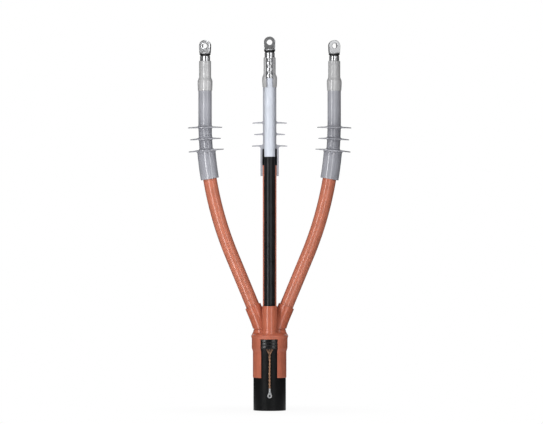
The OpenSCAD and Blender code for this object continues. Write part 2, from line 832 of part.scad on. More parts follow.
outer_sheath();
bedding_filler();
screen_wires();
crotch_mastic();
conductor(LEFT);  // conductor_left
conductor(MIDDLE);  // conductor_middle
conductor(RIGHT);  // conductor_right
insulation(LEFT);  // insulation_left
insulation(MIDDLE);  // insulation_middle
insulation(RIGHT);  // insulation_right
core_screen(LEFT);  // core_screen_left
core_screen(MIDDLE);  // core_screen_middle
core_screen(RIGHT);  // core_screen_right
anti_track_tube(LEFT);  // anti_track_tube_left
anti_track_tube(MIDDLE);  // anti_track_tube_middle
anti_track_tube(RIGHT);  // anti_track_tube_right
stress_deflector(LEFT);  // stress_deflector_left
stress_deflector(MIDDLE);  // stress_deflector_middle
stress_deflector(RIGHT);  // stress_deflector_right
shed_body(LEFT);  // shed_body_left
shed_body(MIDDLE);  // shed_body_middle
shed_body(RIGHT);  // shed_body_right
lug_seal(LEFT);  // lug_seal_left
lug_seal(MIDDLE);  // lug_seal_middle
lug_seal(RIGHT);  // lug_seal_right
cable_lug(LEFT);  // cable_lug_left
cable_lug(MIDDLE);  // cable_lug_middle
cable_lug(RIGHT);  // cable_lug_right
breakout_boot();
binding_tape();
earth_fan();
earth_lead();
earth_lug();
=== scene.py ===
import math
from types import SimpleNamespace

import bmesh
import bpy
import numpy as np
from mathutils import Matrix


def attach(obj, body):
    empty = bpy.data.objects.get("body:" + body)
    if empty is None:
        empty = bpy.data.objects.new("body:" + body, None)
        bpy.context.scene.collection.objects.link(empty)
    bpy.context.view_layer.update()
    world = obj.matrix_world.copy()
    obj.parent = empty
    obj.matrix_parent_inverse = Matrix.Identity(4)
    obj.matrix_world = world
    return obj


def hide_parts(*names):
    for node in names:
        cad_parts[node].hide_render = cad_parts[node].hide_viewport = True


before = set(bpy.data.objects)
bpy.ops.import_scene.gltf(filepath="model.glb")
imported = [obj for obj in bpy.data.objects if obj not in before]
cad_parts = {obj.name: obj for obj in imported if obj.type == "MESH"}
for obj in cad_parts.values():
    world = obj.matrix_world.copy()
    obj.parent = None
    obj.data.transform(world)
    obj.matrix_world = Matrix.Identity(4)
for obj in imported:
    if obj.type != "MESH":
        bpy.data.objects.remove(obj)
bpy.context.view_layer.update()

bl_info = {
    "name": "Cable termination",
    "version": (1, 0, 0),
    "blender": (4, 5, 0),
    "location": "3D View > Sidebar > Termination",
    "description": "Three-core cable termination, cut open along its middle core",
    "category": "Add Mesh",
}

LEFT, MIDDLE, RIGHT = -1, 0, 1
SIDES = {"left": LEFT, "middle": MIDDLE, "right": RIGHT}
BACK = np.array((0.0, 1.0, 0.0))
PREFIX = "termination_"
SENSOR_WIDTH = 36.0
# Longest way between two rows of points on a plain wall
ROW_STEP = 0.004
# Points nearer than this are one point, and an edge shorter than this is none
SAME_POINT, NO_EDGE = 2e-6, 1e-7
# Height of a step in a bore, and gap between two lengths of one wall that are cut differently
STEP, SEAM = 1e-5, 2e-5
# Most of a short side that a rounded corner takes
SHORT_SIDE = 0.48
# Finishes by slot, filled when the stage is made
FINISHES = {}


# Sizes and colours that a user may change


def length(label, millimetres, about):
    """A length: its default is given in millimetres and kept in metres."""
    return bpy.props.FloatProperty(
        name=label, description=about, default=millimetres / 1000,
        unit="LENGTH", subtype="DISTANCE", precision=5,
    )


def angle(label, degrees, about):
    """An angle: its default is given in degrees and kept in radians."""
    return bpy.props.FloatProperty(
        name=label, description=about, default=math.radians(degrees),
        unit="ROTATION", subtype="ANGLE",
    )


def amount(label, value, about):
    """A plain number."""
    return bpy.props.FloatProperty(name=label, description=about, default=value)


def count(label, value, about):
    """A whole number."""
    return bpy.props.IntProperty(name=label, description=about, default=value, min=1)


def linear(rgb):
    """Screen colour out of 255 to linear light.

    It is ((c + 0.055) / 1.055) to the power 2.4, or c / 12.92 where c is dark."""
    c = np.array(rgb, float) / 255
    return tuple(np.where(c <= 0.04045, c / 12.92, ((c + 0.055) / 1.055) ** 2.4))


def colour(label, rgb, about):
    """A colour, given as it looks on a screen, out of 255."""
    return bpy.props.FloatVectorProperty(
        name=label, description=about, default=linear(rgb), size=3, min=0.0, max=1.0, subtype="COLOR",
    )


class CoreSizes(bpy.types.PropertyGroup):
    """Path of the cores and radii of their layers"""

    phase_pitch: length("Phase pitch", 129.2, "From the middle core to an outer core at the lugs")
    spread_angle: angle("Spread angle", 22.5, "Lean of the outer cores on their slope")
    crotch_bend: length("Crotch bend", 160, "Bend radius where the outer cores leave the cable")
    top_bend: length("Top bend", 700, "Bend radius of the outer cores below their lugs")
    spread_height: length("Spread height", 124, "Height at which the outer cores start to lean")
    top_straight: length("Top straight", 150.5, "From an outer bolt hole down to the top bend")
    middle_lift: length("Middle lift", 6.2, "How much higher the middle lug stands")
    beside: length("Side offset", 11.8, "Sideways place of an outer core inside the cable")
    behind: length("Back offset", 6.8127, "How far an outer core lies behind the cable's axis")
    conductor_radius: length("Conductor radius", 4.9, "Radius of the conductor")
    insulation_radius: length("Insulation radius", 10.95, "Radius of the white insulation")
    screen_radius: length("Screen radius", 11.45, "Radius over the black core screen")
    tube_radius: length("Tube radius", 13.7, "Radius over the red-brown tube")
    clearance: length("Clearance", 0.05, "Gap between nested layers")


class BodySizes(bpy.types.PropertyGroup):
    """Shed body, its cuff and the deflector in it"""

    top: length("Top", 72, "Top of the body below the bolt hole")
    bottom: length("Bottom", 267, "Lower edge of the cuff below the bolt hole")
    tube_radius: length("Body radius", 13.4, "Radius of the body between its sheds")
    cuff_radius: length("Cuff radius", 18.35, "Radius of the cuff")
    first_shed: length("First shed", 162.8, "Upper shed below the bolt hole")
    shed_pitch: length("Shed pitch", 23, "From one shed to the next")
    middle_rise: length("Middle rise", 2.6, "How much higher the sheds sit on the middle body")
    upper_radius: length("Upper shed radius", 34.5, "Rim of the upper shed")
    inner_radius: length("Middle shed radius", 31, "Rim of the middle shed")
    lower_radius: length("Lower shed radius", 35.4, "Rim of the lower shed")
    root: length("Shed root", 3, "Thickness of a shed at its root")
    rim: length("Shed rim", 1.9, "Thickness of a shed at its rim")
    droop: length("Shed droop", 0.9, "How far a shed's rim lies below its root")
    blend: length("Shed blend", 3, "Radius of the blend between a shed and the body")
    cuff_blend: length("Cuff blend", 4.5, "Radius of the blend from the lower shed to the cuff")
    slot: length("Body slot", 10.4, "Width of the slot cut in the middle body's top")
    deflector_top: length("Deflector top", 212.4, "Top of the deflector below the bolt hole")
    deflector_bottom: length("Deflector bottom", 245.4, "Lower end of the deflector")
    deflector_radius: length("Deflector radius", 14.6, "Radius of the black deflector")
    screen_top: length("Screen cut", 228.4, "Where the core screen is cut back")


class LugSizes(bpy.types.PropertyGroup):
    """Cable lugs and the sleeves that seal them"""

    turn: angle("Lug turn", 17, "Turn of the outer lugs away from the middle")
    hole_radius: length("Bolt hole radius", 5.25, "Radius of the bolt hole")
    palm_radius: length("Palm radius", 11.7, "Radius of the palm's round end")
    palm_thickness: length("Palm thickness", 9, "Thickness of the palm")
    collar_top: length("Collar", 13.6, "Top of the collar below the bolt hole")
    collar_radius: length("Collar radius", 11.1, "Radius of the collar's rim")
    # From this height down to the barrel, the lug's colour carries painted shade: the undercut's shadow is
    # painted dark
    painted_shade_top: length("Band", 15.4, "Top of the dark band on the collar")
    cone_top: length("Cone", 17.2, "Lower edge of the collar's rim")
    groove: length("Groove", 19.7, "Groove below the undercut")
    barrel: length("Barrel", 20.5, "Top of the barrel")
    mouth: length("Mouth", 71.5, "Mouth of the barrel")
    groove_radius: length("Groove radius", 9.2, "Radius in the groove")
    barrel_radius: length("Barrel radius", 10.1, "Radius of the barrel")
    crimp_flat: length("Crimp flat", 8.5, "Distance of a crimp's flats from the axis")
    crimp_corner: length("Crimp corner", 5.5, "Radius of the round corners between a crimp's flats")
    crimp_width: length("Crimp width", 6.4, "Width of one crimp")
    crimp_pitch: length("Crimp pitch", 12.6, "From one crimp to the next")
    crimp_inset: length("Crimp inset", 10.6, "From the mouth to the first crimp")
    crimps: count("Crimps", 3, "Number of crimps on a barrel")
    seal_top: length("Seal top", 30.1, "Top of the seal sleeve below the bolt hole")
    seal_bottom: length("Seal bottom", 90, "Lower edge of the seal sleeve")
    seal_swell: length("Seal swell", 10, "Length over which the sleeve widens")
    seal_radius: length("Seal radius", 12.1, "Radius of the sleeve on the barrel")
    skirt_radius: length("Skirt radius", 14.95, "Radius of the sleeve on the body")
    seal_slot: length("Seal slot", 14.2, "Width of the slot cut in the middle sleeve")


class BootSizes(bpy.types.PropertyGroup):
    """Cable sheath, breakout boot and binding tape"""

    sheath_radius: length("Sheath radius", 32.5, "Radius of the cable sheath")
    sheath_bore: length("Sheath bore", 29.5, "Bore of the cable sheath")
    sheath_end: length("Sheath end", 146, "Height of the sheath's cut end")
    wall: length("Boot wall", 1, "Wall of the boot")
    bottom: length("Boot bottom", 65.5, "Height of the boot's lower edge")
    skirt_radius: length("Skirt radius", 33.55, "Radius of the boot on the sheath")
    bulge_radius: length("Bulge radius", 35.75, "Radius of the boot over the tape")
    taper_foot: length("Taper foot", 117.875, "Height at which the boot starts to widen")
    taper_top: length("Taper top", 124.875, "Height at which the boot is widest")
    shoulder: length("Shoulder", 149.7, "Height of the boot's shoulder")
    ceiling: length("Ceiling", 148.6, "Height of the boot's inside")
    cap: length("Cap", 8.3, "Rise of the boot's top above its shoulder")
    finger_end: length("Finger end", 208.7, "Height of the fingers' ends")
    finger_radius: length("Finger radius", 15.25, "Radius of the middle finger")
    outer_finger: length("Outer finger radius", 16.35, "Radius of an outer finger")
    finger_grip: length("Finger grip", 36, "Length of red tube held in a finger")
    root_top: length("Root crease", 163, "Height of the crease at the outer fingers' roots")
    root_step: length("Root step", 0.9, "How far an outer root steps back under its finger")
    root_flare: length("Root flare", 4.9, "How far a root spreads on the boot's top")
    root_place: length("Root place", 16.626, "Sideways place of the outer roots")
    root_flare_height: length("Root flare height", 9, "Height over which a root spreads")
    lip: length("Shoulder lip", 1.3, "How far the lip at the shoulder stands out")
    lip_height: length("Lip height", 6, "Height of that lip")
    window: angle("Window", 55, "Opening angle of the window cut in the boot")
    window_left: angle("Window's left edge", 3.5, "How much further round the window goes at the left")
    window_top: length("Window top", 142.7, "Height of the window's upper edge")
    tape_foot: length("Tape foot", 123.3, "Height of the tape's lower edge")
    tape_turn: length("Tape turn", 6.3, "Height of one turn of tape")
    tape_turns: count("Tape turns", 3, "Turns of tape")
    tape_bore: length("Tape bore", 33.6, "Radius inside the tape")
    tape_base: length("Tape base", 0.5, "Thickness of the tape at the edge of a turn")
    tape_crown: length("Tape crown", 0.6, "Extra thickness at the middle of a turn")


class EarthSizes(bpy.types.PropertyGroup):
    """Earth fan, lead and lug"""

    fan_wires: count("Fan wires", 5, "Screen wires that gather into the lead")
    fan_step: angle("Fan step", 6, "Angle round the sheath from one wire to the next")
    fan_radius: length("Fan radius", 33.05, "Radius on which the fan's wires leave the tape")
    fan_top: length("Fan top", 128.3, "Height at which the fan's wires start")
    fan_foot: length("Fan foot", 111.8, "Height at which the wires have gathered")
    gather_radius: length("Gather radius", 1.1, "Radius of the ring on which the wires gather")
    wire_radius: length("Wire radius", 0.5, "Radius of one screen wire")
    lead_top: length("Lead top", 111.25, "Height at which the lead starts")
    lead_drop: length("Lead drop", 66.25, "Height that the lead spans")
    lead_front: length("Lead front", 34.7, "How far the lead lies in front of the axis")
    lead_radius: length("Lead radius", 2, "Radius over the lead's strands")
    lay: length("Lay", 13.4, "Length in which a strand goes once round the lead")
    lug_front: length("Lug front", 35.1, "How far the earth lug lies in front of the axis")
    lug_top: length("Lug top", 45, "Upper end of the earth lug's barrel")
    barrel_length: length("Barrel length", 7.4, "Length of the earth lug's barrel")
    barrel_radius: length("Barrel radius", 1.9, "Radius of the earth lug's barrel")
    neck: length("Neck", 7.6, "From the barrel's end to the earth bolt hole")
    eye_radius: length("Eye radius", 4.35, "Radius of the earth lug's eye")
    eye_thickness: length("Eye thickness", 1.8, "Thickness of the earth lug's eye")
    hole_radius: length("Hole radius", 2.15, "Radius of the earth bolt hole")


class FinishColours(bpy.types.PropertyGroup):
    """Colours of the finishes"""

    tube: colour("Tube", (191, 114, 90), "Red-brown anti-track tube")
    boot: colour("Boot", (183, 101, 76), "Red-brown breakout boot")
    silicone: colour("Silicone", (159, 160, 167), "Bluish grey of the shed bodies")
    seal: colour("Seal", (183, 183, 184), "Light grey of the seal sleeves")
    insulation: colour("Insulation", (208, 213, 223), "White of the core insulation")
    semicon: colour("Core screen", (26, 27, 28), "Black of the core screen")
    deflector: colour("Deflector", (9, 9, 10), "Black of the deflector")
    sheath: colour("Sheath", (15, 16, 17), "Black of the cable sheath")
    tape: colour("Tape", (10, 10, 11), "Black of the binding tape")
    copper: colour("Copper", (172, 132, 104), "Dull tinned copper of the earth wires")
    lug: colour("Lug", (205, 206, 208), "Tinned metal of the lugs")
    # Painted shade: the dark under a lug's collar is its shadow, painted into the colour
    lug_painted_shade: colour("Lug undercut", (24, 24, 26), "Dark undercut below a lug's collar")
    filler: colour("Filler", (112, 107, 101), "Filler between the cores")
    mastic: colour("Mastic", (140, 74, 47), "Sealing mastic in the boot")


class StudioSettings(bpy.types.PropertyGroup):
    """Camera and light"""

    distance: length("Camera distance", 8000, "From the camera to the part")
    frame_width: length("Frame width", 1086, "Width that the camera sees at the part")
    frame_x: length("Frame middle", 3.7, "Sideways middle of the camera's view")
    frame_z: length("Frame height", 396.5, "Height of the middle of the camera's view")
    key: amount("Key light", 2.9, "Power of the tall strip close by at the front left")
    fill: amount("Fill light", 1.1, "Power of the tall strip close by at the front right")
    back: amount("Back light", 3.4, "Power of the tall soft box behind")
    front: amount("Front light", 24.0, "Power of the large soft box at the front")
    ambient: amount("Ambient", 0.22, "Light from all round")
    flags: amount("Flags", 0.035, "Brightness of the dim flags at the front and sides that gloss mirrors")
    left_card: amount("Left card", 0.2, "Brightness of the card that the left lug's palm mirrors")
    right_card: amount("Right card", 1.5, "Brightness of the card that the right lug's palm mirrors")


def sizes():
    """All groups of sizes and colours of the scene, under short names."""
    scene = bpy.context.scene
    return SimpleNamespace(**{name.removeprefix(PREFIX): getattr(scene, name) for name in GROUPS})


# Surfaces


def core_marks():
    """Distances below an outer bolt hole at which its path changes, and the places of those changes.

    The slope's length is what is left of the sideways run after both bends, over the sine of the lean."""
    c = sizes().core
    lean = c.spread_angle
    slope = (c.phase_pitch - c.beside - (c.crotch_bend + c.top_bend) * (1 - math.cos(lean))) / math.sin(lean)
    m = SimpleNamespace(lean=lean, top_bend=c.top_straight)
    m.slope = m.top_bend + c.top_bend * lean
    m.crotch = m.slope + slope
    m.cable = m.crotch + c.crotch_bend * lean
    m.end = m.cable + c.spread_height
    m.foot_x = c.beside + c.crotch_bend * (1 - math.cos(lean))
    m.foot_z = c.spread_height + c.crotch_bend * math.sin(lean)
    m.bend_z = m.foot_z + slope * math.cos(lean) + c.top_bend * math.sin(lean)
    m.hole_z = m.bend_z + c.top_straight
    m.middle_hole_z = m.hole_z + c.middle_lift
    return m


def core_axis(side):
    """Axis of a core: for distances below its bolt hole, the points and the sideways directions there.

    An outer core is straight, then an arc, a slope, a counter arc and straight again; the direction leans
    with the path. The middle core is straight."""
    c, m = sizes().core, core_marks()

    def axis(down):
        down = np.asarray(down, float)
        if side == MIDDLE:
            zero = np.zeros_like(down)
            spot = np.stack([zero, zero - 2 * c.behind, m.middle_hole_z - down], -1)
            return spot, np.stack([zero + 1, zero, zero], -1)
        zones = [down < m.top_bend, down < m.slope, down < m.crotch, down < m.cable]
        lean = np.select(
            zones,
            [
                0 * down,
                (down - m.top_bend) / c.top_bend,
                m.lean + 0 * down,
                (m.cable - down) / c.crotch_bend,
            ],
            0.0,
        )
        rise = m.crotch - down
        x = np.select(
            zones,
            [
                c.phase_pitch + 0 * down,
                c.phase_pitch - c.top_bend * (1 - np.cos(lean)),
                m.foot_x + rise * math.sin(m.lean),
                c.beside + c.crotch_bend * (1 - np.cos(lean)),
            ],
            c.beside,
        )
        z = np.select(
            zones,
            [
                m.hole_z - down,
                m.bend_z - c.top_bend * np.sin(lean),
                m.foot_z + rise * math.cos(m.lean),
                c.spread_height + c.crotch_bend * np.sin(lean),
            ],
            m.end - down,
        )
        spot = np.stack([side * x, c.behind + 0 * down, z], -1)
        return spot, np.stack([np.cos(lean), 0 * down, -side * np.sin(lean)], -1)

    return axis


def post_axis(x, y):
    """Upright axis at a place: the distance down is the height with its sign changed."""

    def axis(down):
        down = np.asarray(down, float)
        spot = np.stack([x + 0 * down, y + 0 * down, -down], -1)
        return spot, np.stack([1 + 0 * down, 0 * down, 0 * down], -1)

    return axis


def run_along(points):
    """Length along a line of points, from 0 at its first point."""
    return np.concatenate([[0], np.cumsum(np.linalg.norm(np.diff(points, axis=0), axis=1))])


def line_axis(points):
    """Axis along a line of points: the distance down is the length along it, and sideways stays level."""
    points = np.asarray(points, float)
    run = run_along(points)

    def axis(down):
        spot = np.stack([np.interp(down, run, points[:, k]) for k in range(3)], -1)
        return spot, np.tile((1.0, 0.0, 0.0), (len(spot), 1))

    return axis, run


def finger_down(side):
    """Distance down a core to the end of its boot finger: over the lean's cosine on an outer core's slope."""
    m, end = core_marks(), sizes().boot.finger_end
    if side == MIDDLE:
        return m.middle_hole_z - end
    slope_top_z = m.foot_z + (m.crotch - m.slope) * math.cos(m.lean)
    return m.slope + (slope_top_z - end) / math.cos(m.lean)


def wall_line(rows, radius):
    """Profile (distance down, radius) at these distances, with one radius or one for each row."""
    return np.stack([rows, radius + 0 * rows], -1)


def eased(corners, radius, steps=6):
    """Profile with its corners rounded: each corner becomes the curve (1-t)^2 A + 2t(1-t) B + t^2 C.

    A and C lie one radius before and after the corner B, or nearer where the sides are short."""
    points = np.array(corners, float)
    before, at, after = points[:-2], points[1:-1], points[2:]
    back = np.linalg.norm(before - at, axis=1, keepdims=True)
    on = np.linalg.norm(after - at, axis=1, keepdims=True)
    wanted = np.broadcast_to(np.asarray(radius, float), (len(at),))[:, None]
    reach = np.minimum(wanted, SHORT_SIDE * np.minimum(back, on))
    start, end = at + (before - at) / back * reach, at + (after - at) / on * reach
    t = np.linspace(0, 1, steps)[None, :, None]
    curve = (1 - t) ** 2 * start[:, None] + 2 * t * (1 - t) * at[:, None] + t**2 * end[:, None]
    return np.vstack([points[:1], curve.reshape(-1, 2), points[-1:]])


def spaced(chain, step=ROW_STEP):
    """Profile with points put in so that none are further apart than a step, measured along it.

    A new point that would come within a quarter step of an old one is left out."""
    run = run_along(chain)
    even = np.linspace(0, run[-1], int(np.ceil(run[-1] / step)) + 1)
    clear = np.abs(even[:, None] - run[None, :]).min(axis=1) > step / 4
    every = np.sort(np.concatenate([run, even[clear]]))
    return np.stack([np.interp(every, run, chain[:, k]) for k in range(chain.shape[1])], -1)


def grid_skin(points, u, v, close_rows=False, close_columns=False):
    """Quads over a grid of points, with a flat place (u, v) for each corner of each quad."""
    rows, columns = points.shape[:2]
    index = np.arange(rows * columns).reshape(rows, columns)
    if close_rows:
        index, u, v = (np.vstack([a, a[:1]]) for a in (index, u, v))
    if close_columns:
        index = np.hstack([index, index[:, :1]])

    def corners(a):
        return np.stack([a[:-1, :-1], a[1:, :-1], a[1:, 1:], a[:-1, 1:]], -1).reshape(-1, 4)

    return SimpleNamespace(
        points=points.reshape(-1, 3), quads=corners(index), uv=np.stack([corners(u), corners(v)], -1)
    )


def sleeve(axis, outer, inner, columns=96, slit=None, shape=None):
    """Wall between an outer and an inner profile, both (distance down, radius), carried round an axis.

    A point is axis(down) + radius (sin a across - cos a back), with a from 0 to a full turn. With a slit, a
    runs from the slit's edge at that radius to its other edge, and the two cut faces join each outer point
    to the inner point of the same number. shape(down, radius, a) may change the radius round the axis."""
    loop = np.vstack([outer, inner[::-1]])
    down, radius = loop[:, :1], loop[:, 1:2]
    turn = np.linspace(0, 1, columns + 1)[None, :]
    edge = 0 * radius if slit is None else slit(radius)
    around = edge + (2 * math.pi - 2 * edge) * turn
    radius = radius + 0 * around
    if shape is not None:
        radius = shape(down, radius, around)
    spot, across = axis(down[:, 0])
    ring = np.sin(around)[..., None] * across[:, None] - np.cos(around)[..., None] * BACK
    points = spot[:, None] + radius[..., None] * ring
    v = down + 0 * around
    if slit is None:
        return grid_skin(points[:, :-1], around, v, close_rows=True, close_columns=True)
    skin = grid_skin(points, around, v, close_rows=True)
    m, n = len(outer), columns + 1
    i = np.arange(m - 1)
    face = np.stack([i + 1, i, 2 * m - 1 - i, 2 * m - 2 - i], -1)
    first, last = face * n, face[:, ::-1] * n + columns
    flat = np.stack([loop[face, 1], loop[face, 0]], -1)
    skin.quads = np.vstack([skin.quads, first, last])
    skin.uv = np.concatenate([skin.uv, flat, flat[:, ::-1]])
    return skin


def half_cut(radius):
    """Slit that takes away the whole front half."""
    return 0 * radius + math.pi / 2


def slot_cut(width):
    """Slit with parallel walls: its edge at a radius is the angle whose sine is half the width over it."""
    return lambda radius: np.arcsin(np.minimum(width / 2 / radius, 1))


def palm_skin(centre, turn, way, hole, end, collar, reach, start, thickness, edge, columns=120):
    """Flat eye with a hole: closed loops from the hole's rim over the front, the outline, the back and home.

    At each angle round the hole the outline is the round end, or the neck where that is further out: the
    neck runs from the round end at the start angle to the collar's half width at its reach. way is 1 where
    the neck points up and -1 where it points down. The rims are quarter rounds, each with a row close by
    that keeps the flats flat, and the eye turns about its upright axis."""
    a = np.linspace(0, 2 * math.pi, columns + 1)[:-1]
    side, up = np.abs(np.cos(a)), way * np.sin(a)
    foot = np.array([end * math.cos(start), end * math.sin(start)])
    run = np.array([collar, reach]) - foot
    normal = np.array([run[1], -run[0]]) / np.linalg.norm(run)
    toward = side * normal[0] + up * normal[1]
    tiny, support = 1e-6, 0.0003
    wall = np.where(toward > tiny, normal @ foot / np.maximum(toward, tiny), np.inf)
    top = np.where(up > tiny, reach / np.maximum(up, tiny), np.inf)
    neck = np.where(up >= math.sin(start) - tiny, np.minimum(wall, top), 0)
    outline = np.maximum(end, neck)
    h, e, inset = thickness / 2, edge, edge + support
    quarter = np.linspace(0, math.pi / 2, 4)
    front = [(1, -inset, -h)] + [(1, -e + e * math.sin(q), -h + e * (1 - math.cos(q))) for q in quarter]
    back = [(1, -e + e * math.cos(q), h - e * (1 - math.sin(q))) for q in quarter] + [(1, -inset, h)]
    home = [(0, inset, h)] + [(0, e * (1 - math.sin(q)), h - e * (1 - math.cos(q))) for q in quarter]
    start_rim = [(0, e * (1 - math.cos(q)), -h + e * (1 - math.sin(q))) for q in quarter] + [(0, inset, -h)]
    share, offset, depth = np.array(front + back + home + start_rim).T
    radius = (1 - share)[:, None] * hole + share[:, None] * outline + offset[:, None]
    x, z = radius * np.cos(a), radius * np.sin(a)
    y = depth[:, None] + 0 * x
    points = np.stack(
        [
            centre[0] + x * math.cos(turn) - y * math.sin(turn),
            centre[1] + x * math.sin(turn) + y * math.cos(turn),
            centre[2] + z,
        ],
        -1,
    )
    around = np.hstack([a + 0 * x, 0 * x[:, :1] + 2 * math.pi])
    return grid_skin(points, around, np.hstack([-z, -z[:, :1]]), close_rows=True, close_columns=True)


def add_object(name, data):
    """New object at the origin, linked to the scene."""
    item = bpy.data.objects.new(name, data)
    bpy.context.scene.collection.objects.link(item)
    return item


def make_piece(node, skins, slot, smooth=32):
    """Piece that stands for a node, from one or more skins, with the finish of its slot.

    Doubled points are merged, so poles and seams close. Edges that turn by more than the smooth angle, in
    degrees, stay sharp."""
    name = f"{node}_skin"
    counts = np.cumsum([0] + [len(s.points) for s in skins])[:-1]
    points = np.vstack([s.points for s in skins])
    quads = np.vstack([s.quads + n for s, n in zip(skins, counts)])
    uv = np.concatenate([s.uv for s in skins]).reshape(-1, 2)
    mesh = bpy.data.meshes.new(name)
    mesh.from_pydata(points, [], quads)
    layer = mesh.uv_layers.new(name="Wrap")
    layer.uv.foreach_set("vector", uv.astype(np.float32).ravel())
    work = bmesh.new()
    work.from_mesh(mesh)
    bmesh.ops.remove_doubles(work, verts=work.verts, dist=SAME_POINT)
    bmesh.ops.dissolve_degenerate(work, edges=work.edges, dist=NO_EDGE)
    work.to_mesh(mesh)
    work.free()
    mesh.polygons.foreach_set("use_smooth", np.ones(len(mesh.polygons), bool))
    mesh.set_sharp_from_angle(angle=math.radians(smooth))
    mesh.materials.append(FINISHES[slot])
    piece = add_object(name, mesh)
    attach(piece, "root")
    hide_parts(node)
    return piece


# Finishes


class Wire:
    """A socket in a node tree. Sums on it add Math nodes, and node() adds any other node."""

    def __init__(self, tree, socket=None):
        self.tree, self.socket = tree, socket

    def node(self, kind, settings=None, inputs=None, output=0):
        """Adds a node of a type, with its settings and the values or links of its sockets."""
        item = self.tree.nodes.new(kind)
        for key, value in (settings or {}).items():
            setattr(item, key, value)
        for key, value in (inputs or {}).items():
            if isinstance(value, Wire):
                self.tree.links.new(value.socket, item.inputs[key])
            else:
                item.inputs[key].default_value = value
        return Wire(self.tree, item.outputs[output] if item.outputs else None)

    def sum(self, operation, first, second):
        """Adds a Math node on two values."""
        return self.node("ShaderNodeMath", {"operation": operation}, {0: first, 1: second})

    def __add__(self, other):
        return self.sum("ADD", self, other)

    def __radd__(self, other):
        return self.sum("ADD", other, self)

    def __sub__(self, other):
        return self.sum("SUBTRACT", self, other)

    def __rsub__(self, other):
        return self.sum("SUBTRACT", other, self)

    def __mul__(self, other):
        return self.sum("MULTIPLY", self, other)

    def __rmul__(self, other):
        return self.sum("MULTIPLY", other, self)


def blank_tree(owner):
    """The emptied node tree of a material or a world, as a wire with no socket."""
    owner.use_nodes = True
    owner.node_tree.nodes.clear()
    return Wire(owner.node_tree)


def shade(rgb, factor):
    """A colour made lighter or darker by one factor."""
    return tuple(min(1.0, c * factor) for c in rgb[:3])


class Finish:
    """One material while it is being made: its places, patterns and shader."""

    def __init__(self, name):
        self.material = bpy.data.materials.new(name)
        self.base = blank_tree(self.material)
        self.place = self.base.node("ShaderNodeTexCoord", output=3)
        self.wrap = self.base.node("ShaderNodeUVMap", {"uv_map": "Wrap"})

    def part(self, vector, axis):
        """One of a vector's three numbers."""
        return self.base.node("ShaderNodeSeparateXYZ", None, {0: vector}, output=axis)

    def noise(self, scale, detail, at=None):
        """Cloudy pattern from 0 to 1; the scale is in clouds per metre."""
        return self.base.node(
            "ShaderNodeTexNoise", None,
            {"Vector": at or self.place, "Scale": scale, "Detail": detail, "Roughness": 0.55},
        )

    def streaks(self, around, along, detail):
        """Cloudy pattern drawn out on the surface: clouds per radian round it, and per metre along it."""
        at = self.base.node("ShaderNodeMapping", None, {"Vector": self.wrap, "Scale": (around, along, 1)})
        return self.noise(1, detail, at)

    def band(self, value, low, high):
        """0 below low, 1 above high and a smooth step between."""
        return self.base.node(
            "ShaderNodeMapRange", {"interpolation_type": "SMOOTHSTEP"},
            {0: value, 1: low, 2: high, 3: 0.0, 4: 1.0},
        )

    def blend(self, share, first, second):
        """Mix of two colours."""
        pair = [c if isinstance(c, Wire) else (*c[:3], 1.0) for c in (first, second)]
        return self.base.node(
            "ShaderNodeMix", {"data_type": "RGBA"}, {0: share, 6: pair[0], 7: pair[1]}, output=2
        )

    def clouded(self, cloud, tone, dark, light, low=0.3, high=0.7):
        """A tone that a cloudy pattern makes darker and lighter, by two factors."""
        return self.blend(self.band(cloud, low, high), shade(tone, dark), shade(tone, light))

    def bump(self, height, strength, distance):
        """Raised pattern for the shader's normal."""
        return self.base.node(
            "ShaderNodeBump", None, {"Height": height, "Strength": strength, "Distance": distance}
        )

    def done(self, inputs):
        """Ends the material in one shader with these inputs."""
        shader = self.base.node("ShaderNodeBsdfPrincipled", None, inputs)
        self.base.node("ShaderNodeOutputMaterial", None, {"Surface": shader})
        return self.material


def shrunk_finish(name, tone, dull_below=0.0):
    """Heat-shrunk tube: cloudy tone, drawn-out lines along it and a satin gloss, duller below a height."""
    f = Finish(name)
    fade = 0.002
    dull = 1 - f.band(f.part(f.place, 2), dull_below - fade, dull_below + fade)
    cloud, lines, grain = f.noise(38, 4), f.streaks(14, 30, 3), f.noise(1500, 2)
    return f.done({
        "Base Color": f.clouded(cloud * 0.6 + lines * 0.4, tone, 0.88, 1.1, 0.32, 0.68),
        "Roughness": 0.2 + cloud * 0.06 + dull * 0.22,
        "Normal": f.bump(lines * 0.6 + grain * 0.4, 0.04, 0.0004),
        "Specular IOR Level": 0.55,
    })


def moulded_finish(name, tone, rough, grain_scale=1800.0, depth=0.04, gloss=0.5):
    """Moulded rubber: slight clouding, fine specks, a close grain, and dust that dulls what faces up."""
    f = Finish(name)
    facing = f.base.node("ShaderNodeTexCoord", output=1)
    dust = f.band(f.part(facing, 2), 0.3, 0.8)
    cloud, grain = f.noise(26, 4), f.noise(grain_scale, 2)
    specks = f.band(f.noise(900, 2), 0.62, 0.78)
    return f.done({
        "Base Color": f.blend(specks * 0.12, f.clouded(cloud, tone, 0.93, 1.07), shade(tone, 1.5)),
        "Roughness": rough - 0.03 + cloud * 0.06 + specks * 0.06 + dust * 0.4,
        "Normal": f.bump(grain, depth, 0.0002),
        "Specular IOR Level": gloss,
    })


def peeled_finish(name, tone):
    """Insulation under a peeled screen: smooth, with faint rings left by the peeling tool."""
    f = Finish(name)
    rings = f.streaks(1.5, 700, 3)
    return f.done({
        "Base Color": f.clouded(f.noise(30, 3), tone, 0.95, 1.04),
        "Roughness": 0.09 + rings * 0.05,
        "Normal": f.bump(rings, 0.015, 0.00025),
        "Specular IOR Level": 0.5,
    })


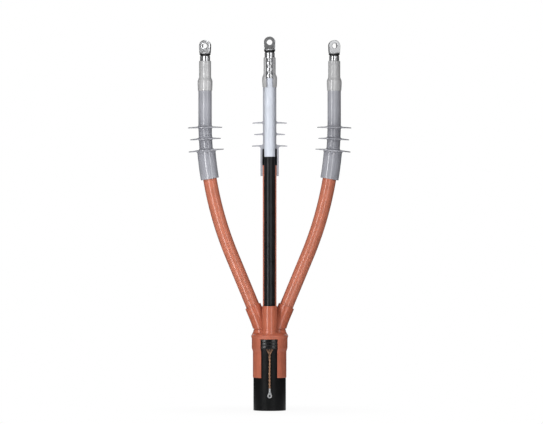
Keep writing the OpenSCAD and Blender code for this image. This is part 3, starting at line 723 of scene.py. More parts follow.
def extruded_finish(name, tone, rough, depth, gloss):
    """Extruded black layer: fine lines along it, a little dust and a soft gloss."""
    f = Finish(name)
    lines, cloud = f.streaks(60, 6, 2), f.noise(45, 4)
    dust, dust_grey = f.band(f.noise(420, 3), 0.56, 0.8), (0.12, 0.12, 0.125)
    return f.done({
        "Base Color": f.blend(dust * 0.05, f.clouded(cloud, tone, 0.8, 1.25), dust_grey),
        "Roughness": rough + cloud * 0.1,
        "Normal": f.bump(lines * 0.7 + cloud * 0.3, depth, 0.0003),
        "Specular IOR Level": gloss,
    })


def tape_finish(name, tone):
    """Wound tape: smooth film with small cross wrinkles from its pull."""
    f = Finish(name)
    wrinkle = f.streaks(26, 260, 3)
    return f.done({
        "Base Color": f.clouded(f.noise(60, 3), tone, 0.8, 1.3, 0.35, 0.65),
        "Roughness": 0.22 + wrinkle * 0.12,
        "Normal": f.bump(wrinkle, 0.06, 0.0004),
        "Specular IOR Level": 0.5,
    })


def strand_finish(name, tone):
    """Fine metal strands, dulled in patches."""
    f = Finish(name)
    dull = f.noise(260, 3)
    return f.done({
        "Base Color": f.clouded(dull, tone, 0.72, 1.2, 0.35, 0.68),
        "Metallic": 0.5,
        "Roughness": 0.34 + dull * 0.2,
        "Normal": f.bump(f.streaks(9, 160, 2), 0.5, 0.0003),
    })


def tinned_finish(name, tone):
    """Tinned metal: soft clouding, hairlines along the axis and a bright gloss."""
    f = Finish(name)
    cloud, hair = f.noise(70, 4), f.streaks(70, 22, 3)
    return f.done({
        "Base Color": f.clouded(cloud, tone, 0.86, 1.06),
        "Metallic": 0.9,
        "Roughness": 0.24 + cloud * 0.1 + hair * 0.08,
        "Normal": f.bump(hair, 0.12, 0.0002),
    })


def lug_finish(name, tone, band, marks):
    """Cable lug: a bright palm, a duller rim, painted shade on the undercut and a bright barrel.

    The band colour paints the undercut's shade in, with no metal there. The marks are the distances below the
    bolt hole at which the palm, the rim and the undercut end."""
    f = Finish(name)
    edge, soot = 0.0002, (0.1, 0.1, 0.1)
    down = f.part(f.wrap, 1)
    cloud, hair, grain = f.noise(70, 4), f.streaks(70, 22, 3), f.noise(900, 2)
    past = [f.band(down, mark - edge, mark + edge) for mark in marks]
    # dark covers the undercut from the rim to the barrel, where shade is painted into the colour
    rim, dark = past[0] * (1 - past[1]), past[1] * (1 - past[2])
    clouded = f.blend(f.band(cloud, 0.3, 0.7) * 0.12, tone, soot)
    return f.done({
        "Base Color": f.blend(dark, clouded, band),
        "Metallic": (1 - dark) * 0.78,
        "Roughness": 0.12 + cloud * 0.05 + hair * 0.05 + rim * 0.3 + dark * 0.3,
        "Normal": f.bump(hair * 0.5 + grain * 0.5, 0.05, 0.0002),
    })


def make_finishes():
    """All finishes of the termination, by short names; most are the record's slot names."""
    c, lug, boot = sizes().colours, sizes().lug, sizes().boot
    FINISHES.update(
        red_tube=shrunk_finish("red_brown_tube", c.tube),
        red_boot=shrunk_finish("red_brown_boot", c.boot, boot.shoulder),
        silicone=moulded_finish("grey_silicone", c.silicone, 0.13, depth=0.025, gloss=0.6),
        seal=moulded_finish("light_grey_seal", c.seal, 0.14, depth=0.025, gloss=0.9),
        deflector=moulded_finish("black_deflector", c.deflector, 0.45, gloss=0.1),
        mastic=moulded_finish("sealing_mastic", c.mastic, 0.6, 600.0, 0.5),
        filler=moulded_finish("core_filler", c.filler, 0.8, 500.0, 0.6),
        insulation=peeled_finish("white_insulation", c.insulation),
        semicon=extruded_finish("black_core_screen", c.semicon, 0.24, 0.08, 0.25),
        sheath=extruded_finish("black_sheath", c.sheath, 0.34, 0.15, 0.12),
        tape=tape_finish("black_tape", c.tape),
        copper=strand_finish("dull_copper", c.copper),
        conductor=strand_finish("conductor_strands", c.lug),
        # The undercut colour and the band's heights paint shade under each lug's collar
        lug_metal=lug_finish("tinned_lug", c.lug, c.lug_painted_shade, (lug.collar_top, lug.painted_shade_top, lug.barrel)),
        tinned=tinned_finish("tinned_earth_lug", shade(c.lug, 1.15)),
    )


# Pieces


def shed_profile(rise):
    """Outside of a shed body from its top to its cuff, as (distance down, radius, partner's distance down).

    A shed is a quarter round blend out of the body, a straight upper face, a half round rim, a straight
    lower face and a blend back. The partner is where the cut face of the middle body meets the bore: along
    a shed it stays within the shed's root, so that the cut face stays inside the section."""
    b = sizes().body
    q = np.linspace(0, math.pi / 2, 7)
    a = np.linspace(0, math.pi, 9)
    h, half, inside, turn_in = b.rim / 2, b.root / 2, 0.3, 0.0008
    rims = (b.upper_radius, b.inner_radius, b.lower_radius)
    parts = [np.array([[b.top, b.tube_radius, b.top]])]
    for i, rim in enumerate(rims):
        at = b.first_shed + i * b.shed_pitch - rise
        last = i == len(rims) - 1
        foot, low = (b.cuff_radius, b.cuff_blend) if last else (b.tube_radius, b.blend)
        over = np.stack([
            at - half - b.blend * (1 - np.sin(q)),
            b.tube_radius + b.blend * (1 - np.cos(q)),
            at - half - b.blend * (1 - q / q[-1]) + inside * half,
        ], -1)
        edge = np.stack([
            at + b.droop - h * np.cos(a),
            rim - h + h * np.sin(a),
            at + (1 - inside) * half * (2 * a / math.pi - 1),
        ], -1)
        under = np.stack([
            at + half + low * (1 - np.sin(q)),
            foot + low * (1 - np.cos(q)),
            at + half - inside * half + low * (1 - q / q[-1]),
        ], -1)[::-1]
        parts += [over, edge, under]
    back, drop = np.array([1, 0.25, 0]) * turn_in, np.array([0, 0.25, 1]) * turn_in
    parts.append(np.stack([b.bottom - back, b.cuff_radius - drop, b.bottom - back], -1))
    return np.vstack(parts)


def body_bore(down):
    """Radius of a shed body's bore: on the insulation, round the deflector, then on the tube."""
    s = sizes()
    gap = s.core.clearance
    return np.select(
        [down < s.body.deflector_top, down < s.body.deflector_bottom + gap],
        [s.core.insulation_radius + gap, s.body.deflector_radius + gap],
        s.core.tube_radius + gap,
    )


def make_bodies():
    """Shed bodies: whole on the outer cores, slotted and then cut in half on the middle core."""
    s = sizes()
    b = s.body
    for name, side in SIDES.items():
        axis = core_axis(side)
        profile = spaced(shed_profile(b.middle_rise if side == MIDDLE else 0))
        if side != MIDDLE:
            steps = np.array((b.deflector_top, b.deflector_bottom))
            rows = np.sort(np.concatenate([np.linspace(b.top, b.bottom, 60), steps, steps - STEP]))
            skins = [sleeve(axis, profile[:, :2], wall_line(rows, body_bore(rows)), 120)]
        else:
            split = s.lug.seal_bottom
            rows = np.linspace(b.top, split - SEAM, 8)
            tube, bore = wall_line(rows, b.tube_radius), wall_line(rows, body_bore(b.top))
            lower = np.vstack([[split, b.tube_radius, split], profile[profile[:, 0] > split]])
            inner = wall_line(lower[:, 2], body_bore(lower[:, 2]))
            skins = [
                sleeve(axis, tube, bore, slit=slot_cut(b.slot)),
                sleeve(axis, lower[:, :2], inner, 72, half_cut),
            ]
        make_piece(f"shed_body_{name}", skins, "silicone")


def seal_profile():
    """Outside of a seal sleeve: straight on the barrel, a cosine swell to the body, then a slow draw-in.

    Each end turns in by a lip that falls off with e to the power of minus the distance over the fall."""
    lug = sizes().lug
    draw, delay, lip, fall = 0.0005, 0.002, 0.0007, 0.0006
    down = np.linspace(lug.seal_top, lug.seal_bottom, 60)

    def ease(start, end):
        return (1 - np.cos(math.pi * np.clip((down - start) / (end - start), 0, 1))) / 2

    swell = (lug.skirt_radius - lug.seal_radius) * ease(lug.mouth - lug.seal_swell, lug.mouth)
    ends = np.exp(-(down - lug.seal_top) / fall) + np.exp(-(lug.seal_bottom - down) / fall)
    drawn = draw * ease(lug.mouth + delay, lug.seal_bottom)
    return wall_line(down, lug.seal_radius + swell - drawn - lip * ends)


def make_seals():
    """Seal sleeves over the lugs' barrels and the bodies' tops; the middle one is slotted."""
    s = sizes()
    outer = seal_profile()
    bore = np.where(outer[:, 0] < s.body.top, s.lug.barrel_radius, s.body.tube_radius) + s.core.clearance
    inner = wall_line(outer[:, 0], bore)
    for name, side in SIDES.items():
        slit = slot_cut(s.lug.seal_slot) if side == MIDDLE else None
        skin = sleeve(core_axis(side), outer, inner, slit=slit)
        make_piece(f"lug_seal_{name}", [skin], "seal")


def crimped(turn):
    """Shape of a barrel with hexagonal crimps pressed in, turned as its lug is.

    In a crimp the radius goes over from the barrel's to that of a hexagon with a round corner in front. With
    b the angle from the nearest corner, it is flat / cos(30 - b) on the flats. On a corner, whose centre lies
    at k = (flat - corner) / cos 30, it is k cos b + sqrt(corner^2 - k^2 sin^2 b)."""
    lug = sizes().lug
    half, ramp = math.pi / 6, 0.0006
    at = lug.mouth - lug.crimp_inset - lug.crimp_pitch * np.arange(lug.crimps)
    k = (lug.crimp_flat - lug.crimp_corner) / math.cos(half)
    arc_end = math.atan2(lug.crimp_corner * math.sin(half), k + lug.crimp_corner * math.cos(half))

    def shape(down, radius, around):
        b = np.abs((around - turn + half) % (2 * half) - half)
        arc = k * np.cos(b) + np.sqrt(np.maximum(lug.crimp_corner**2 - (k * np.sin(b)) ** 2, 0))
        hexagon = np.where(b < arc_end, arc, lug.crimp_flat / np.cos(half - b))
        reach = np.abs(down[..., None] - at).min(axis=-1)
        press = np.clip((lug.crimp_width / 2 - reach) / ramp + 0.5, 0, 1)
        on_barrel = (radius > lug.barrel_radius - STEP) & (down > lug.barrel)
        return np.where(on_barrel, radius + press * (np.minimum(hexagon, radius) - radius), radius)

    return shape


def make_lugs():
    """Cable lugs: a turned collar, groove and crimped barrel, and a flat palm with a hole."""
    s = sizes()
    lug = s.lug
    bore = s.core.conductor_radius + s.core.clearance
    rounding, plain, row_gap, broken_edge, bore_floor, bore_lap = 0.0004, 0.004, 0.0005, 0.0006, 0.005, 0.001
    palm_edge, palm_lap, palm_inset = 0.0009, 0.0008, 0.0002
    head = eased([
        (lug.collar_top, 0), (lug.collar_top, lug.collar_radius), (lug.cone_top, lug.collar_radius),
        (lug.groove, lug.groove_radius), (lug.barrel, lug.groove_radius), (lug.barrel, lug.barrel_radius),
        (lug.barrel + plain, lug.barrel_radius),
    ], rounding, 4)
    rows = np.linspace(lug.barrel + plain + row_gap, lug.mouth - broken_edge, 150)
    mouth = (lug.mouth, lug.barrel_radius) - np.array([[1 / 3, 1 / 4], [0, 1]]) * broken_edge
    outer = np.vstack([head, wall_line(rows, lug.barrel_radius), mouth, [[lug.mouth, bore]]])
    floor = lug.barrel + bore_floor
    inner = np.array([[floor, 0.0], [floor, bore], [lug.mouth - bore_lap, bore]])
    draw = math.atan((lug.palm_radius - lug.collar_radius) / lug.collar_top)
    for name, side in SIDES.items():
        axis, turn = core_axis(side), side * lug.turn
        body = sleeve(axis, outer, inner, shape=crimped(turn))
        palm = palm_skin(
            axis(np.zeros(1))[0][0], turn, -1, lug.hole_radius, lug.palm_radius,
            lug.collar_radius - palm_inset, lug.collar_top + palm_lap, draw, lug.palm_thickness, palm_edge,
        )
        make_piece(f"cable_lug_{name}", [body, palm], "lug_metal", smooth=28)


def make_tubes():
    """Anti-track tubes: whole on the outer cores, the front half cut away on the middle one."""
    s = sizes()
    gap, turn_in, edge = s.core.clearance, 0.0002, 0.0003
    r, bore = s.core.tube_radius, s.core.screen_radius + gap
    top = s.body.deflector_bottom + gap
    for name, side in SIDES.items():
        finger = finger_down(side)
        foot = finger + s.boot.finger_grip

        def wall(start, end, slit=None):
            outer = spaced(np.array([[start, r - turn_in], [start + edge, r], [end, r]]))
            return sleeve(core_axis(side), outer, wall_line(outer[:, 0], bore), slit=slit)

        if side == MIDDLE:
            skins = [wall(top, finger - SEAM, half_cut), wall(finger, foot)]
        else:
            skins = [wall(top, foot)]
        make_piece(f"anti_track_tube_{name}", skins, "red_tube")


def make_core_layers():
    """Layers of the opened middle core: white insulation, black core screen and the deflector's back half."""
    s = sizes()
    axis = core_axis(MIDDLE)
    end = core_marks().middle_hole_z
    gap = s.core.clearance
    white_edge, black_edge, long_step = 0.0008, 0.0002, 0.03

    def layer(start, radius, bore, edge):
        corners = [(start, radius - 2 * edge), (start, radius), (end, radius)]
        outer = spaced(eased(corners, edge, 5), long_step)
        return sleeve(axis, outer, wall_line(outer[:, 0], bore))

    white = layer(s.lug.mouth + 2 * gap, s.core.insulation_radius, s.core.conductor_radius + gap, white_edge)
    make_piece("insulation_middle", [white], "insulation")
    black = layer(s.body.screen_top, s.core.screen_radius, s.core.insulation_radius + gap, black_edge)
    make_piece("core_screen_middle", [black], "semicon")
    rows = np.linspace(s.body.deflector_top, s.body.deflector_bottom, 12)
    rows = np.sort(np.append(rows, [s.body.screen_top, s.body.screen_top - STEP]))
    bore = np.where(rows < s.body.screen_top, s.core.insulation_radius, s.core.screen_radius) + gap
    block = sleeve(axis, wall_line(rows, s.body.deflector_radius), wall_line(rows, bore), 64, half_cut)
    make_piece("stress_deflector_middle", [block], "deflector")


def boot_body_skin():
    """Shell of the boot's body with its window.

    A profile goes from the top of the cap over the shoulder and down the outside, and back up the inside.
    Columns are set so that the window's two edges stand at half its angle, the left one a little further.
    The quads inside the window are left out, and walls close it at both edges and at its upper edge."""
    b = sizes().boot
    proud = b.bulge_radius + b.lip
    cap_foot, cap_step, roundings = 0.65, 0.0025, (0.006, 0.0012, 0.001, 0.0015)
    taper_rounding, turn_in, fall = 0.006, 0.0005, 0.0006
    back_columns, front_columns = 96, 28
    over = spaced(eased([
        (b.shoulder + b.cap, 0.0), (b.shoulder + cap_foot * b.cap, b.bulge_radius - b.cap),
        (b.shoulder, proud), (b.shoulder - b.lip_height / 4, proud),
        (b.shoulder - b.lip_height, b.bulge_radius), (b.window_top, b.bulge_radius),
    ], roundings, 8)[:-1], cap_step)
    taper = spaced(eased([
        (b.window_top, 0.0), (b.taper_top, 0.0), (b.taper_foot, 1.0), (b.bottom, 1.0),
    ], taper_rounding, 8))
    height = np.linspace(b.window_top, b.bottom, 64)
    slim = np.interp(-height, -taper[:, 0], taper[:, 1])
    radius = b.bulge_radius + (b.skirt_radius - b.bulge_radius) * slim
    outer = wall_line(height, radius - turn_in * np.exp(-(height - b.bottom) / fall))
    inner = wall_line(height, radius - b.wall)
    roof = np.array([[b.ceiling, b.bulge_radius - b.wall], [b.ceiling, 0.0]])
    loop = np.vstack([over, outer, inner[::-1], roof])
    z, r = loop[:, :1], loop[:, 1:]
    right_edge, left_edge = b.window / 2, b.window / 2 + b.window_left
    opening = right_edge + left_edge
    back = right_edge + (2 * math.pi - opening) * np.linspace(0, 1, back_columns + 1)
    front = 2 * math.pi - left_edge + opening * np.linspace(0, 1, front_columns + 1)[1:]
    around = np.concatenate([back, front])[None, :] + 0 * r
    ring = np.stack([np.sin(around), -np.cos(around), 0 * around], -1)
    points = r[..., None] * ring
    points[..., 2] = z
    skin = grid_skin(points[:, :-1], around, -z + 0 * around, close_columns=True)
    columns = back_columns + front_columns
    top, m = len(over), len(height)
    keep = np.ones((len(loop) - 1, columns), bool)
    keep[top:top + 2 * m - 1, back_columns:] = False
    keep = keep.ravel()
    i = np.arange(m - 1)
    face = np.stack([top + i + 1, top + i, top + 2 * m - 1 - i, top + 2 * m - 2 - i], -1)
    right, left = face * columns, face[:, ::-1] * columns + back_columns
    k = np.arange(back_columns, columns)
    k_next = (k + 1) % columns
    upper, lower = top * columns, (top + 2 * m - 1) * columns
    lintel = np.stack([upper + k, lower + k, lower + k_next, upper + k_next], -1)
    walls = np.vstack([right, left, lintel])
    corners = skin.points[walls]
    skin.quads = np.vstack([skin.quads[keep], walls])
    skin.uv = np.concatenate([skin.uv[keep], np.stack([corners[..., 0], -corners[..., 2]], -1)])
    return skin


# Crease under an outer finger: (distance down, radius) as seen from the top of its root
CREASE = np.array([
    [-0.0006, -0.0012], [0.0008, -0.0012], [0.0016, -0.0002], [0.0024, 0.0004], [0.0034, 0.0005],
])


def make_boot():
    """Breakout boot: body with its window, three fingers along the cores and their flared roots.

    The outer fingers end level at a crease, and below it their roots step back and then spread towards the
    shoulder with the share of the way to the power of a bow, no further than the shoulder's lip."""
    s = sizes()
    b, m = s.boot, core_marks()
    bore = s.core.tube_radius + s.core.clearance
    rounding, finger_step, end_lap, root_lap = 0.0007, 0.003, 0.0002, 0.0003
    bow, sunk, spread, headroom = 1.15, 0.003, 0.001, 0.001
    skins = [boot_body_skin()]
    for side in SIDES.values():
        end = finger_down(side)
        if side == MIDDLE:
            root = m.middle_hole_z - b.shoulder
            radius, slim = b.finger_radius, b.finger_radius
            top, crease = b.shoulder + b.root_flare_height + headroom, CREASE[:1]
            place = (0.0, -2 * s.core.behind)
        else:
            rise = math.asin((b.root_top - b.outer_finger / 4 - s.core.spread_height) / s.core.crotch_bend)
            root = m.cable - s.core.crotch_bend * rise
            radius, slim = b.outer_finger, b.outer_finger - b.root_step
            top, crease = b.root_top, CREASE
            place = (side * b.root_place, s.core.behind)
        corners = [(end, bore), (end, radius), (root, radius), (root, bore)]
        outer = spaced(eased(corners, rounding, 5), finger_step)
        inner = spaced(np.array([[end + end_lap, bore], [root - end_lap, bore]]))
        finger = sleeve(core_axis(side), outer, inner)
        if side != MIDDLE:
            finger.points[:, 2] = np.maximum(finger.points[:, 2], b.root_top)
        t = np.linspace(0, 1, 24)
        flare = np.stack([
            -(b.shoulder + b.root_flare_height * (1 - t)),
            slim + root_lap + (b.root_flare - 2 * root_lap) * t**bow,
        ], -1)
        foot = [[sunk - b.shoulder, flare[-1, 1] + spread]]
        stub = np.vstack([(-top, slim) + crease, flare, foot])
        hollow = np.array([[-top - root_lap, bore], [sunk - b.shoulder, bore]])
        flared = sleeve(post_axis(*place), stub, hollow, 120)
        reach = np.hypot(flared.points[:, 0], flared.points[:, 1])
        flared.points[:, :2] *= np.minimum(1, (b.bulge_radius + b.lip - end_lap) / reach)[:, None]
        skins += [finger, flared]
    make_piece("breakout_boot", skins, "red_boot")


def make_tape():
    """Binding tape: a bulged ridge for each turn, lower by the square of the way from the turn's middle."""
    b = sizes().boot
    rows_per_turn = 24
    rows = np.linspace(0, b.tape_turns, rows_per_turn * b.tape_turns + 1)
    way = 2 * (rows % 1.0) - 1
    way[-1] = 1
    radius = b.tape_bore + b.tape_base + b.tape_crown * (1 - way**2)
    outer = wall_line((rows - b.tape_turns) * b.tape_turn - b.tape_foot, radius)
    skin = sleeve(post_axis(0, 0), outer, wall_line(outer[[0, -1], 0], b.tape_bore), 128)
    make_piece("binding_tape", [skin], "tape", smooth=50)


def make_sheath():
    """Cable sheath: a tube with slightly broken edges at both ends."""
    b = sizes().boot
    rounding, lap, step = 0.0007, 0.0002, 0.006
    ends = np.array([-b.sheath_end, 0.0])
    outer = eased([
        (ends[0], b.sheath_bore + lap), (ends[0], b.sheath_radius),
        (ends[1], b.sheath_radius), (ends[1], b.sheath_bore + lap),
    ], rounding, 5)
    skin = sleeve(post_axis(0, 0), spaced(outer, step), wall_line(ends, b.sheath_bore), 128)
    make_piece("outer_sheath", [skin], "sheath")


def closed_rod(axis, rows, radius, columns, shape=None):
    """Rod with flat ends along an axis: its profile starts and ends at radius 0."""
    ends = wall_line(rows[[0, -1]], 0.0)
    return sleeve(axis, np.vstack([ends[:1], wall_line(rows, radius), ends[1:]]), ends, columns, shape=shape)


def make_fan():
    """Earth fan: wires that come straight down from under the tape and lean in to a ring on the lead.

    Below the tape a wire's place is start + (end - start) t, t from 0 at the tape."""
    s = sizes()
    e = s.earth
    half = (e.fan_wires - 1) // 2
    clear = 5e-5
    skins = []
    t = np.linspace(0, 1, 22)
    for i in range(-half, half + 1):
        start = np.array([e.fan_radius * math.sin(i * e.fan_step), -e.fan_radius * math.cos(i * e.fan_step)])
        turn = math.radians(90 - i * 360 / e.fan_wires)
        end = np.array([e.gather_radius * math.cos(turn), -e.lead_front + e.gather_radius * math.sin(turn)])
        below = start + (end - start) * t[:, None]
        z = s.boot.tape_foot + (e.fan_foot - s.boot.tape_foot) * t
        path = np.vstack([[*start, e.fan_top - clear], np.column_stack([below, z])])
        axis, run = line_axis(path)
        skins.append(closed_rod(axis, run, e.wire_radius, 12))
    make_piece("earth_fan", skins, "copper")


# Route of the earth lead: sideways in millimetres, share of its drop, and forward in millimetres
LEAD_ROUTE = np.array([
    [0, 0, 0], [0.05, 0.07, 0], [0.1, 0.14, 0], [0.15, 0.21, 0], [0.15, 0.28, 0], [0.1, 0.35, 0],
    [0, 0.42, 0.05], [-0.1, 0.5, 0.1], [-0.15, 0.57, 0.15], [-0.2, 0.64, 0.2], [-0.2, 0.71, 0.25],
    [-0.15, 0.78, 0.3], [-0.1, 0.85, 0.35], [-0.05, 0.92, 0.4], [0, 1, 0.4],
])


def make_earth_lug():
    """Earth lug: a short barrel squeezed flat in front and behind at its middle, and a flat eye with a hole.

    The squeeze takes a share of the radius times cos^2 of the angle, over a bell curve along the barrel."""
    e = sizes().earth
    top, low = e.lug_top, e.lug_top - e.barrel_length
    squeeze, spread, rounding, step = 0.22, 0.17, 0.0005, 0.0006
    eye_inset, eye_lap, eye_edge = 0.0003, 0.001, 0.00025

    def squeezed(distance, radius, around):
        way = (top + distance) / e.barrel_length
        press = np.exp(-(((way - 0.5) / spread) ** 2)) * squeeze
        return radius * (1 - press * np.cos(around) ** 2)

    profile = eased([(-top, 0), (-top, e.barrel_radius), (-low, e.barrel_radius), (-low, 0)], rounding, 5)
    core = np.array([[-top, 0.0], [-low, 0.0]])
    barrel = sleeve(post_axis(0, -e.lug_front), spaced(profile, step), core, 48, shape=squeezed)
    eye = palm_skin(
        (0, -e.lug_front, low - e.neck), 0, 1, e.hole_radius, e.eye_radius, e.barrel_radius - eye_inset,
        e.neck + eye_lap, math.radians(30), e.eye_thickness, eye_edge, 96,
    )
    return make_piece("earth_lug", [barrel, eye], "tinned")


def make_earth_lead():
    """Earth lead of two twisted strands, and the lug crimped on its end.

    Round the lead the radius is that of two lapping circles: k cos a + sqrt(s^2 - k^2 sin^2 a), a from
    the nearest strand's middle, and the strands turn once in each lay."""
    e = sizes().earth
    sideways, drop, forward = LEAD_ROUTE.T
    axis, run = line_axis(np.column_stack([
        sideways / 1000, -e.lead_front - forward / 1000, e.lead_top - e.lead_drop * drop,
    ]))
    down = np.linspace(0, run[-1], 90)
    strand, apart = 0.56 * e.lead_radius, 0.44 * e.lead_radius

    def twisted(distance, radius, around):
        a = (around - 2 * math.pi * distance / e.lay + math.pi / 2) % math.pi - math.pi / 2
        lobed = apart * np.cos(a) + np.sqrt(strand**2 - (apart * np.sin(a)) ** 2)
        return np.where(radius > 0, lobed * radius / e.lead_radius, 0)

    skin = closed_rod(axis, down, e.lead_radius, 48, twisted)
    lead = make_piece("earth_lead", [skin], "copper", smooth=60)
    lug = make_earth_lug()
    path = axis(down)[0]


# Solids that stay as they are, and the finish of each
KEPT_NODES = {
    "bedding_filler": "filler", "screen_wires": "copper", "crotch_mastic": "mastic",
    "conductor_left": "conductor", "conductor_middle": "conductor", "conductor_right": "conductor",
    "insulation_left": "insulation", "insulation_right": "insulation",
    "core_screen_left": "semicon", "core_screen_right": "semicon",
    "stress_deflector_left": "deflector", "stress_deflector_right": "deflector",
}


# Stage


def make_camera():
    """Camera level with the middle of the view, with a focal length of sensor x distance / frame width."""
    st = sizes().studio
    camera = bpy.data.cameras.new("camera")
    camera.sensor_fit = "HORIZONTAL"
    camera.sensor_width = SENSOR_WIDTH
    camera.lens = SENSOR_WIDTH * st.distance / st.frame_width
    camera.clip_end = 100
    item = add_object("camera", camera)
    item.location = (st.frame_x, -st.distance, st.frame_z)
    item.rotation_euler = (math.pi / 2, 0, 0)
    bpy.context.scene.camera = item


# Lamps: setting for the power, spot, point that it faces, width, height, and whether gloss mirrors it
LAMPS = {
    "key_strip": ("key", (-0.31, -0.42, 0.4), (0, 0, 0.4), 0.08, 1.2, True),
    "fill_strip": ("fill", (0.17, -0.36, 0.4), (0, 0, 0.4), 0.09, 1.2, True),
    "front_box": ("front", (-0.4, -4.0, 1.2), (0, 0, 0.4), 2.4, 2.4, False),
    "back_box": ("back", (0.1, 0.8, 0.5), (0, 0, 0.5), 0.5, 1.2, False),
}


def make_lamps():
    """Rectangular lamps, each turned to the point that it faces, and none seen by the camera."""
    st = sizes().studio
    for name, (power, spot, aim, wide, high, mirrored) in LAMPS.items():
        lamp = bpy.data.lights.new(name, "AREA")
        lamp.shape = "RECTANGLE"
        lamp.energy, lamp.size, lamp.size_y = getattr(st, power), wide, high
        x, y, z = np.array(spot) - np.array(aim)
        item = add_object(name, lamp)
        item.location = spot
        item.rotation_euler = (math.atan2(math.hypot(x, y), z), 0, math.atan2(x, -y))
        item.visible_camera, item.visible_glossy = False, mirrored


def make_flags():
    """Dim curved flags round the front and sides, seen only in metal and gloss: (r sin a, -r cos a, z).

    They lie on the floor as a ring, stand up as a wall, and leave the back open, where gloss mirrors the
    white background. High on the wall are two paler cards, which the turned palms of the lugs mirror."""
    st = sizes().studio
    near, far, low, high = 0.3, 1.1, 0.001, 2.6
    reach, columns = math.radians(165), 64
    card_foot, card_top, card_back, card_side = (0.725, 0.745), (0.95, 1.0), (-0.7, -0.6), (0.55, 0.6)
    turn = np.linspace(-reach, reach, columns)[None, :]
    radius, height = np.array([[[near], [far], [far]], [[low], [low], [high]]])
    points = np.stack([radius * np.sin(turn), -radius * np.cos(turn), height + 0 * turn], -1)
    wall = grid_skin(points, 0 * points[..., 0], 0 * points[..., 0])
    mesh = bpy.data.meshes.new("flags")
    mesh.from_pydata(wall.points, [], wall.quads)
    f = Finish("dim_flags")
    across, back, up = (f.part(f.place, axis) for axis in range(3))
    level = f.band(up, *card_foot) * (1 - f.band(up, *card_top)) * (1 - f.band(back, *card_back))
    grey = [st.flags] * 3
    for sideways, card in ((across * -1, st.left_card), (across, st.right_card)):
        grey = f.blend(level * f.band(sideways, *card_side), grey, [card] * 3)
    material = f.done({
        "Base Color": (0, 0, 0, 1), "Specular IOR Level": 0.0,
        "Emission Color": grey, "Emission Strength": 1.0,
    })
    # The flags light nothing, so no light is looked for on them
    material.cycles.emission_sampling = "NONE"
    mesh.materials.append(material)
    item = add_object("flags", mesh)
    item.visible_camera = item.visible_diffuse = item.visible_shadow = item.visible_transmission = False


def seen_share(base):
    """1 for what the camera sees, straight or through gloss and clear matter, and 0 for all other light."""
    path = base.node("ShaderNodeLightPath").socket.node
    rays = ("Is Camera Ray", "Is Glossy Ray", "Is Transmission Ray")
    camera, gloss, clear = (Wire(base.tree, path.outputs[ray]) for ray in rays)
    return base.sum("MINIMUM", camera + gloss + clear, 1.0)


def make_floor():
    """Pale floor under the cable's end: white as seen, with part of the object's shadow left on it."""
    size, drop = 20.0, 0.0006
    shadow_start, shadow_end, white_share = 0.04, 0.3, 0.94
    mesh = bpy.data.meshes.new("floor")
    corners = np.array([[-1, -1], [1, -1], [1, 1], [-1, 1]]) * size
    mesh.from_pydata(np.column_stack([corners, np.full(4, -drop)]), [], [(0, 1, 2, 3)])
    material = bpy.data.materials.new("pale_floor")
    base = blank_tree(material)
    paint = base.node("ShaderNodeBsdfDiffuse", None, {"Color": (0.9, 0.9, 0.9, 1)})
    white = base.node("ShaderNodeEmission", None, {"Color": (1, 1, 1, 1), "Strength": 1.0})
    place = base.node("ShaderNodeTexCoord", output=3)
    far = base.node("ShaderNodeVectorMath", {"operation": "LENGTH"}, {0: place}, output=1)
    fade = base.node(
        "ShaderNodeMapRange", {"interpolation_type": "SMOOTHSTEP"},
        {0: far, 1: shadow_start, 2: shadow_end, 3: white_share, 4: 1.0},
    )
    mixed = base.node("ShaderNodeMixShader", None, {0: seen_share(base) * fade, 1: paint, 2: white})
    base.node("ShaderNodeOutputMaterial", None, {"Surface": mixed})
    mesh.materials.append(material)
    add_object("floor", mesh)


def make_world():
    """White background for what is seen or mirrored, and a dimmer even light for the rest."""
    ambient = sizes().studio.ambient
    world = bpy.data.worlds.new("studio")
    base = blank_tree(world)
    strength = ambient + seen_share(base) * (1 - ambient)
    light = base.node("ShaderNodeBackground", None, {"Color": (1, 1, 1, 1), "Strength": strength})
    base.node("ShaderNodeOutputWorld", None, {"Surface": light})
    bpy.context.scene.world = world


# Operators, one for each piece or group of like pieces


class TERMINATION_OT_stage(bpy.types.Operator):
    """Make the camera, the floor, the world, the lamps and the flags, and mix the finishes"""

    bl_idname = "termination.stage"
    bl_label = "Stage"

    def execute(self, context):
        make_camera()
        make_floor()
        make_world()
        make_lamps()
        make_flags()
        make_finishes()
        context.scene.view_settings.view_transform = "Standard"
        return {"FINISHED"}


class TERMINATION_OT_earth_lead(bpy.types.Operator):
    """Make the twisted earth lead with its lug"""

    bl_idname = "termination.earth_lead"
    bl_label = "Earth lead"

    def execute(self, context):
        make_earth_lead()
        return {"FINISHED"}


class TERMINATION_OT_earth_fan(bpy.types.Operator):
    """Make the screen wires that gather into the lead"""

    bl_idname = "termination.earth_fan"
    bl_label = "Earth fan"

    def execute(self, context):
        make_fan()
        return {"FINISHED"}


class TERMINATION_OT_sheath(bpy.types.Operator):
    """Make the cable sheath"""

    bl_idname = "termination.sheath"
    bl_label = "Cable sheath"

    def execute(self, context):
        make_sheath()
        return {"FINISHED"}


class TERMINATION_OT_core_layers(bpy.types.Operator):
    """Make the opened layers of the middle core"""

    bl_idname = "termination.core_layers"
    bl_label = "Middle core layers"

    def execute(self, context):
        make_core_layers()
        return {"FINISHED"}


class TERMINATION_OT_tubes(bpy.types.Operator):
    """Make the three anti-track tubes"""

    bl_idname = "termination.tubes"
    bl_label = "Anti-track tubes"

    def execute(self, context):
        make_tubes()
        return {"FINISHED"}


class TERMINATION_OT_bodies(bpy.types.Operator):
    """Make the three shed bodies"""

    bl_idname = "termination.bodies"
    bl_label = "Shed bodies"

    def execute(self, context):
        make_bodies()
        return {"FINISHED"}


class TERMINATION_OT_seals(bpy.types.Operator):
    """Make the three lug seal sleeves"""

    bl_idname = "termination.seals"
    bl_label = "Lug seals"

    def execute(self, context):
        make_seals()
        return {"FINISHED"}


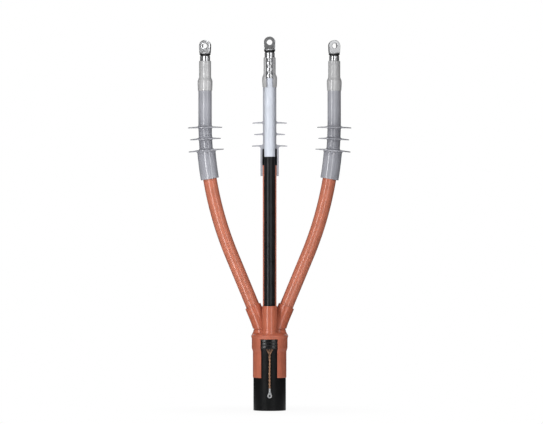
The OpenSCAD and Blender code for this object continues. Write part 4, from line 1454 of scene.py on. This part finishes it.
class TERMINATION_OT_lugs(bpy.types.Operator):
    """Make the three cable lugs"""

    bl_idname = "termination.lugs"
    bl_label = "Cable lugs"

    def execute(self, context):
        make_lugs()
        return {"FINISHED"}


class TERMINATION_OT_boot(bpy.types.Operator):
    """Make the breakout boot"""

    bl_idname = "termination.boot"
    bl_label = "Breakout boot"

    def execute(self, context):
        make_boot()
        return {"FINISHED"}


class TERMINATION_OT_tape(bpy.types.Operator):
    """Make the binding tape"""

    bl_idname = "termination.tape"
    bl_label = "Binding tape"

    def execute(self, context):
        make_tape()
        return {"FINISHED"}


class TERMINATION_OT_kept_solids(bpy.types.Operator):
    """Give the solids that stay as they are their finishes"""

    bl_idname = "termination.kept_solids"
    bl_label = "Kept solids"

    def execute(self, context):
        for node, slot in KEPT_NODES.items():
            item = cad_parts[node]
            item.data.materials.clear()
            item.data.materials.append(FINISHES[slot])
        return {"FINISHED"}


OPERATORS = (
    TERMINATION_OT_stage, TERMINATION_OT_earth_lead, TERMINATION_OT_earth_fan, TERMINATION_OT_sheath,
    TERMINATION_OT_core_layers, TERMINATION_OT_tubes, TERMINATION_OT_bodies, TERMINATION_OT_seals,
    TERMINATION_OT_lugs, TERMINATION_OT_boot, TERMINATION_OT_tape, TERMINATION_OT_kept_solids,
)


class TERMINATION_PT_sidebar(bpy.types.Panel):
    """Lists the termination's pieces in the sidebar"""

    bl_idname = "TERMINATION_PT_sidebar"
    bl_label = "Cable termination"
    bl_space_type = "VIEW_3D"
    bl_region_type = "UI"
    bl_category = "Termination"

    def draw(self, context):
        for operator in OPERATORS:
            self.layout.operator(operator.bl_idname)


GROUPS = {
    "termination_core": CoreSizes, "termination_body": BodySizes, "termination_lug": LugSizes,
    "termination_boot": BootSizes, "termination_earth": EarthSizes,
    "termination_colours": FinishColours, "termination_studio": StudioSettings,
}
CLASSES = (*GROUPS.values(), *OPERATORS, TERMINATION_PT_sidebar)


def register():
    """Registers the classes and puts the groups of sizes on the scene."""
    for item in CLASSES:
        bpy.utils.register_class(item)
    for name, group in GROUPS.items():
        setattr(bpy.types.Scene, name, bpy.props.PointerProperty(type=group))


def unregister():
    """Takes the groups off the scene and the classes out again."""
    for name in GROUPS:
        delattr(bpy.types.Scene, name)
    for item in reversed(CLASSES):
        bpy.utils.unregister_class(item)


def main():
    """Makes everything in order."""
    register()
    for operator in OPERATORS:
        getattr(bpy.ops.termination, operator.bl_idname.split(".")[1])()


if __name__ == "__main__":
    main()
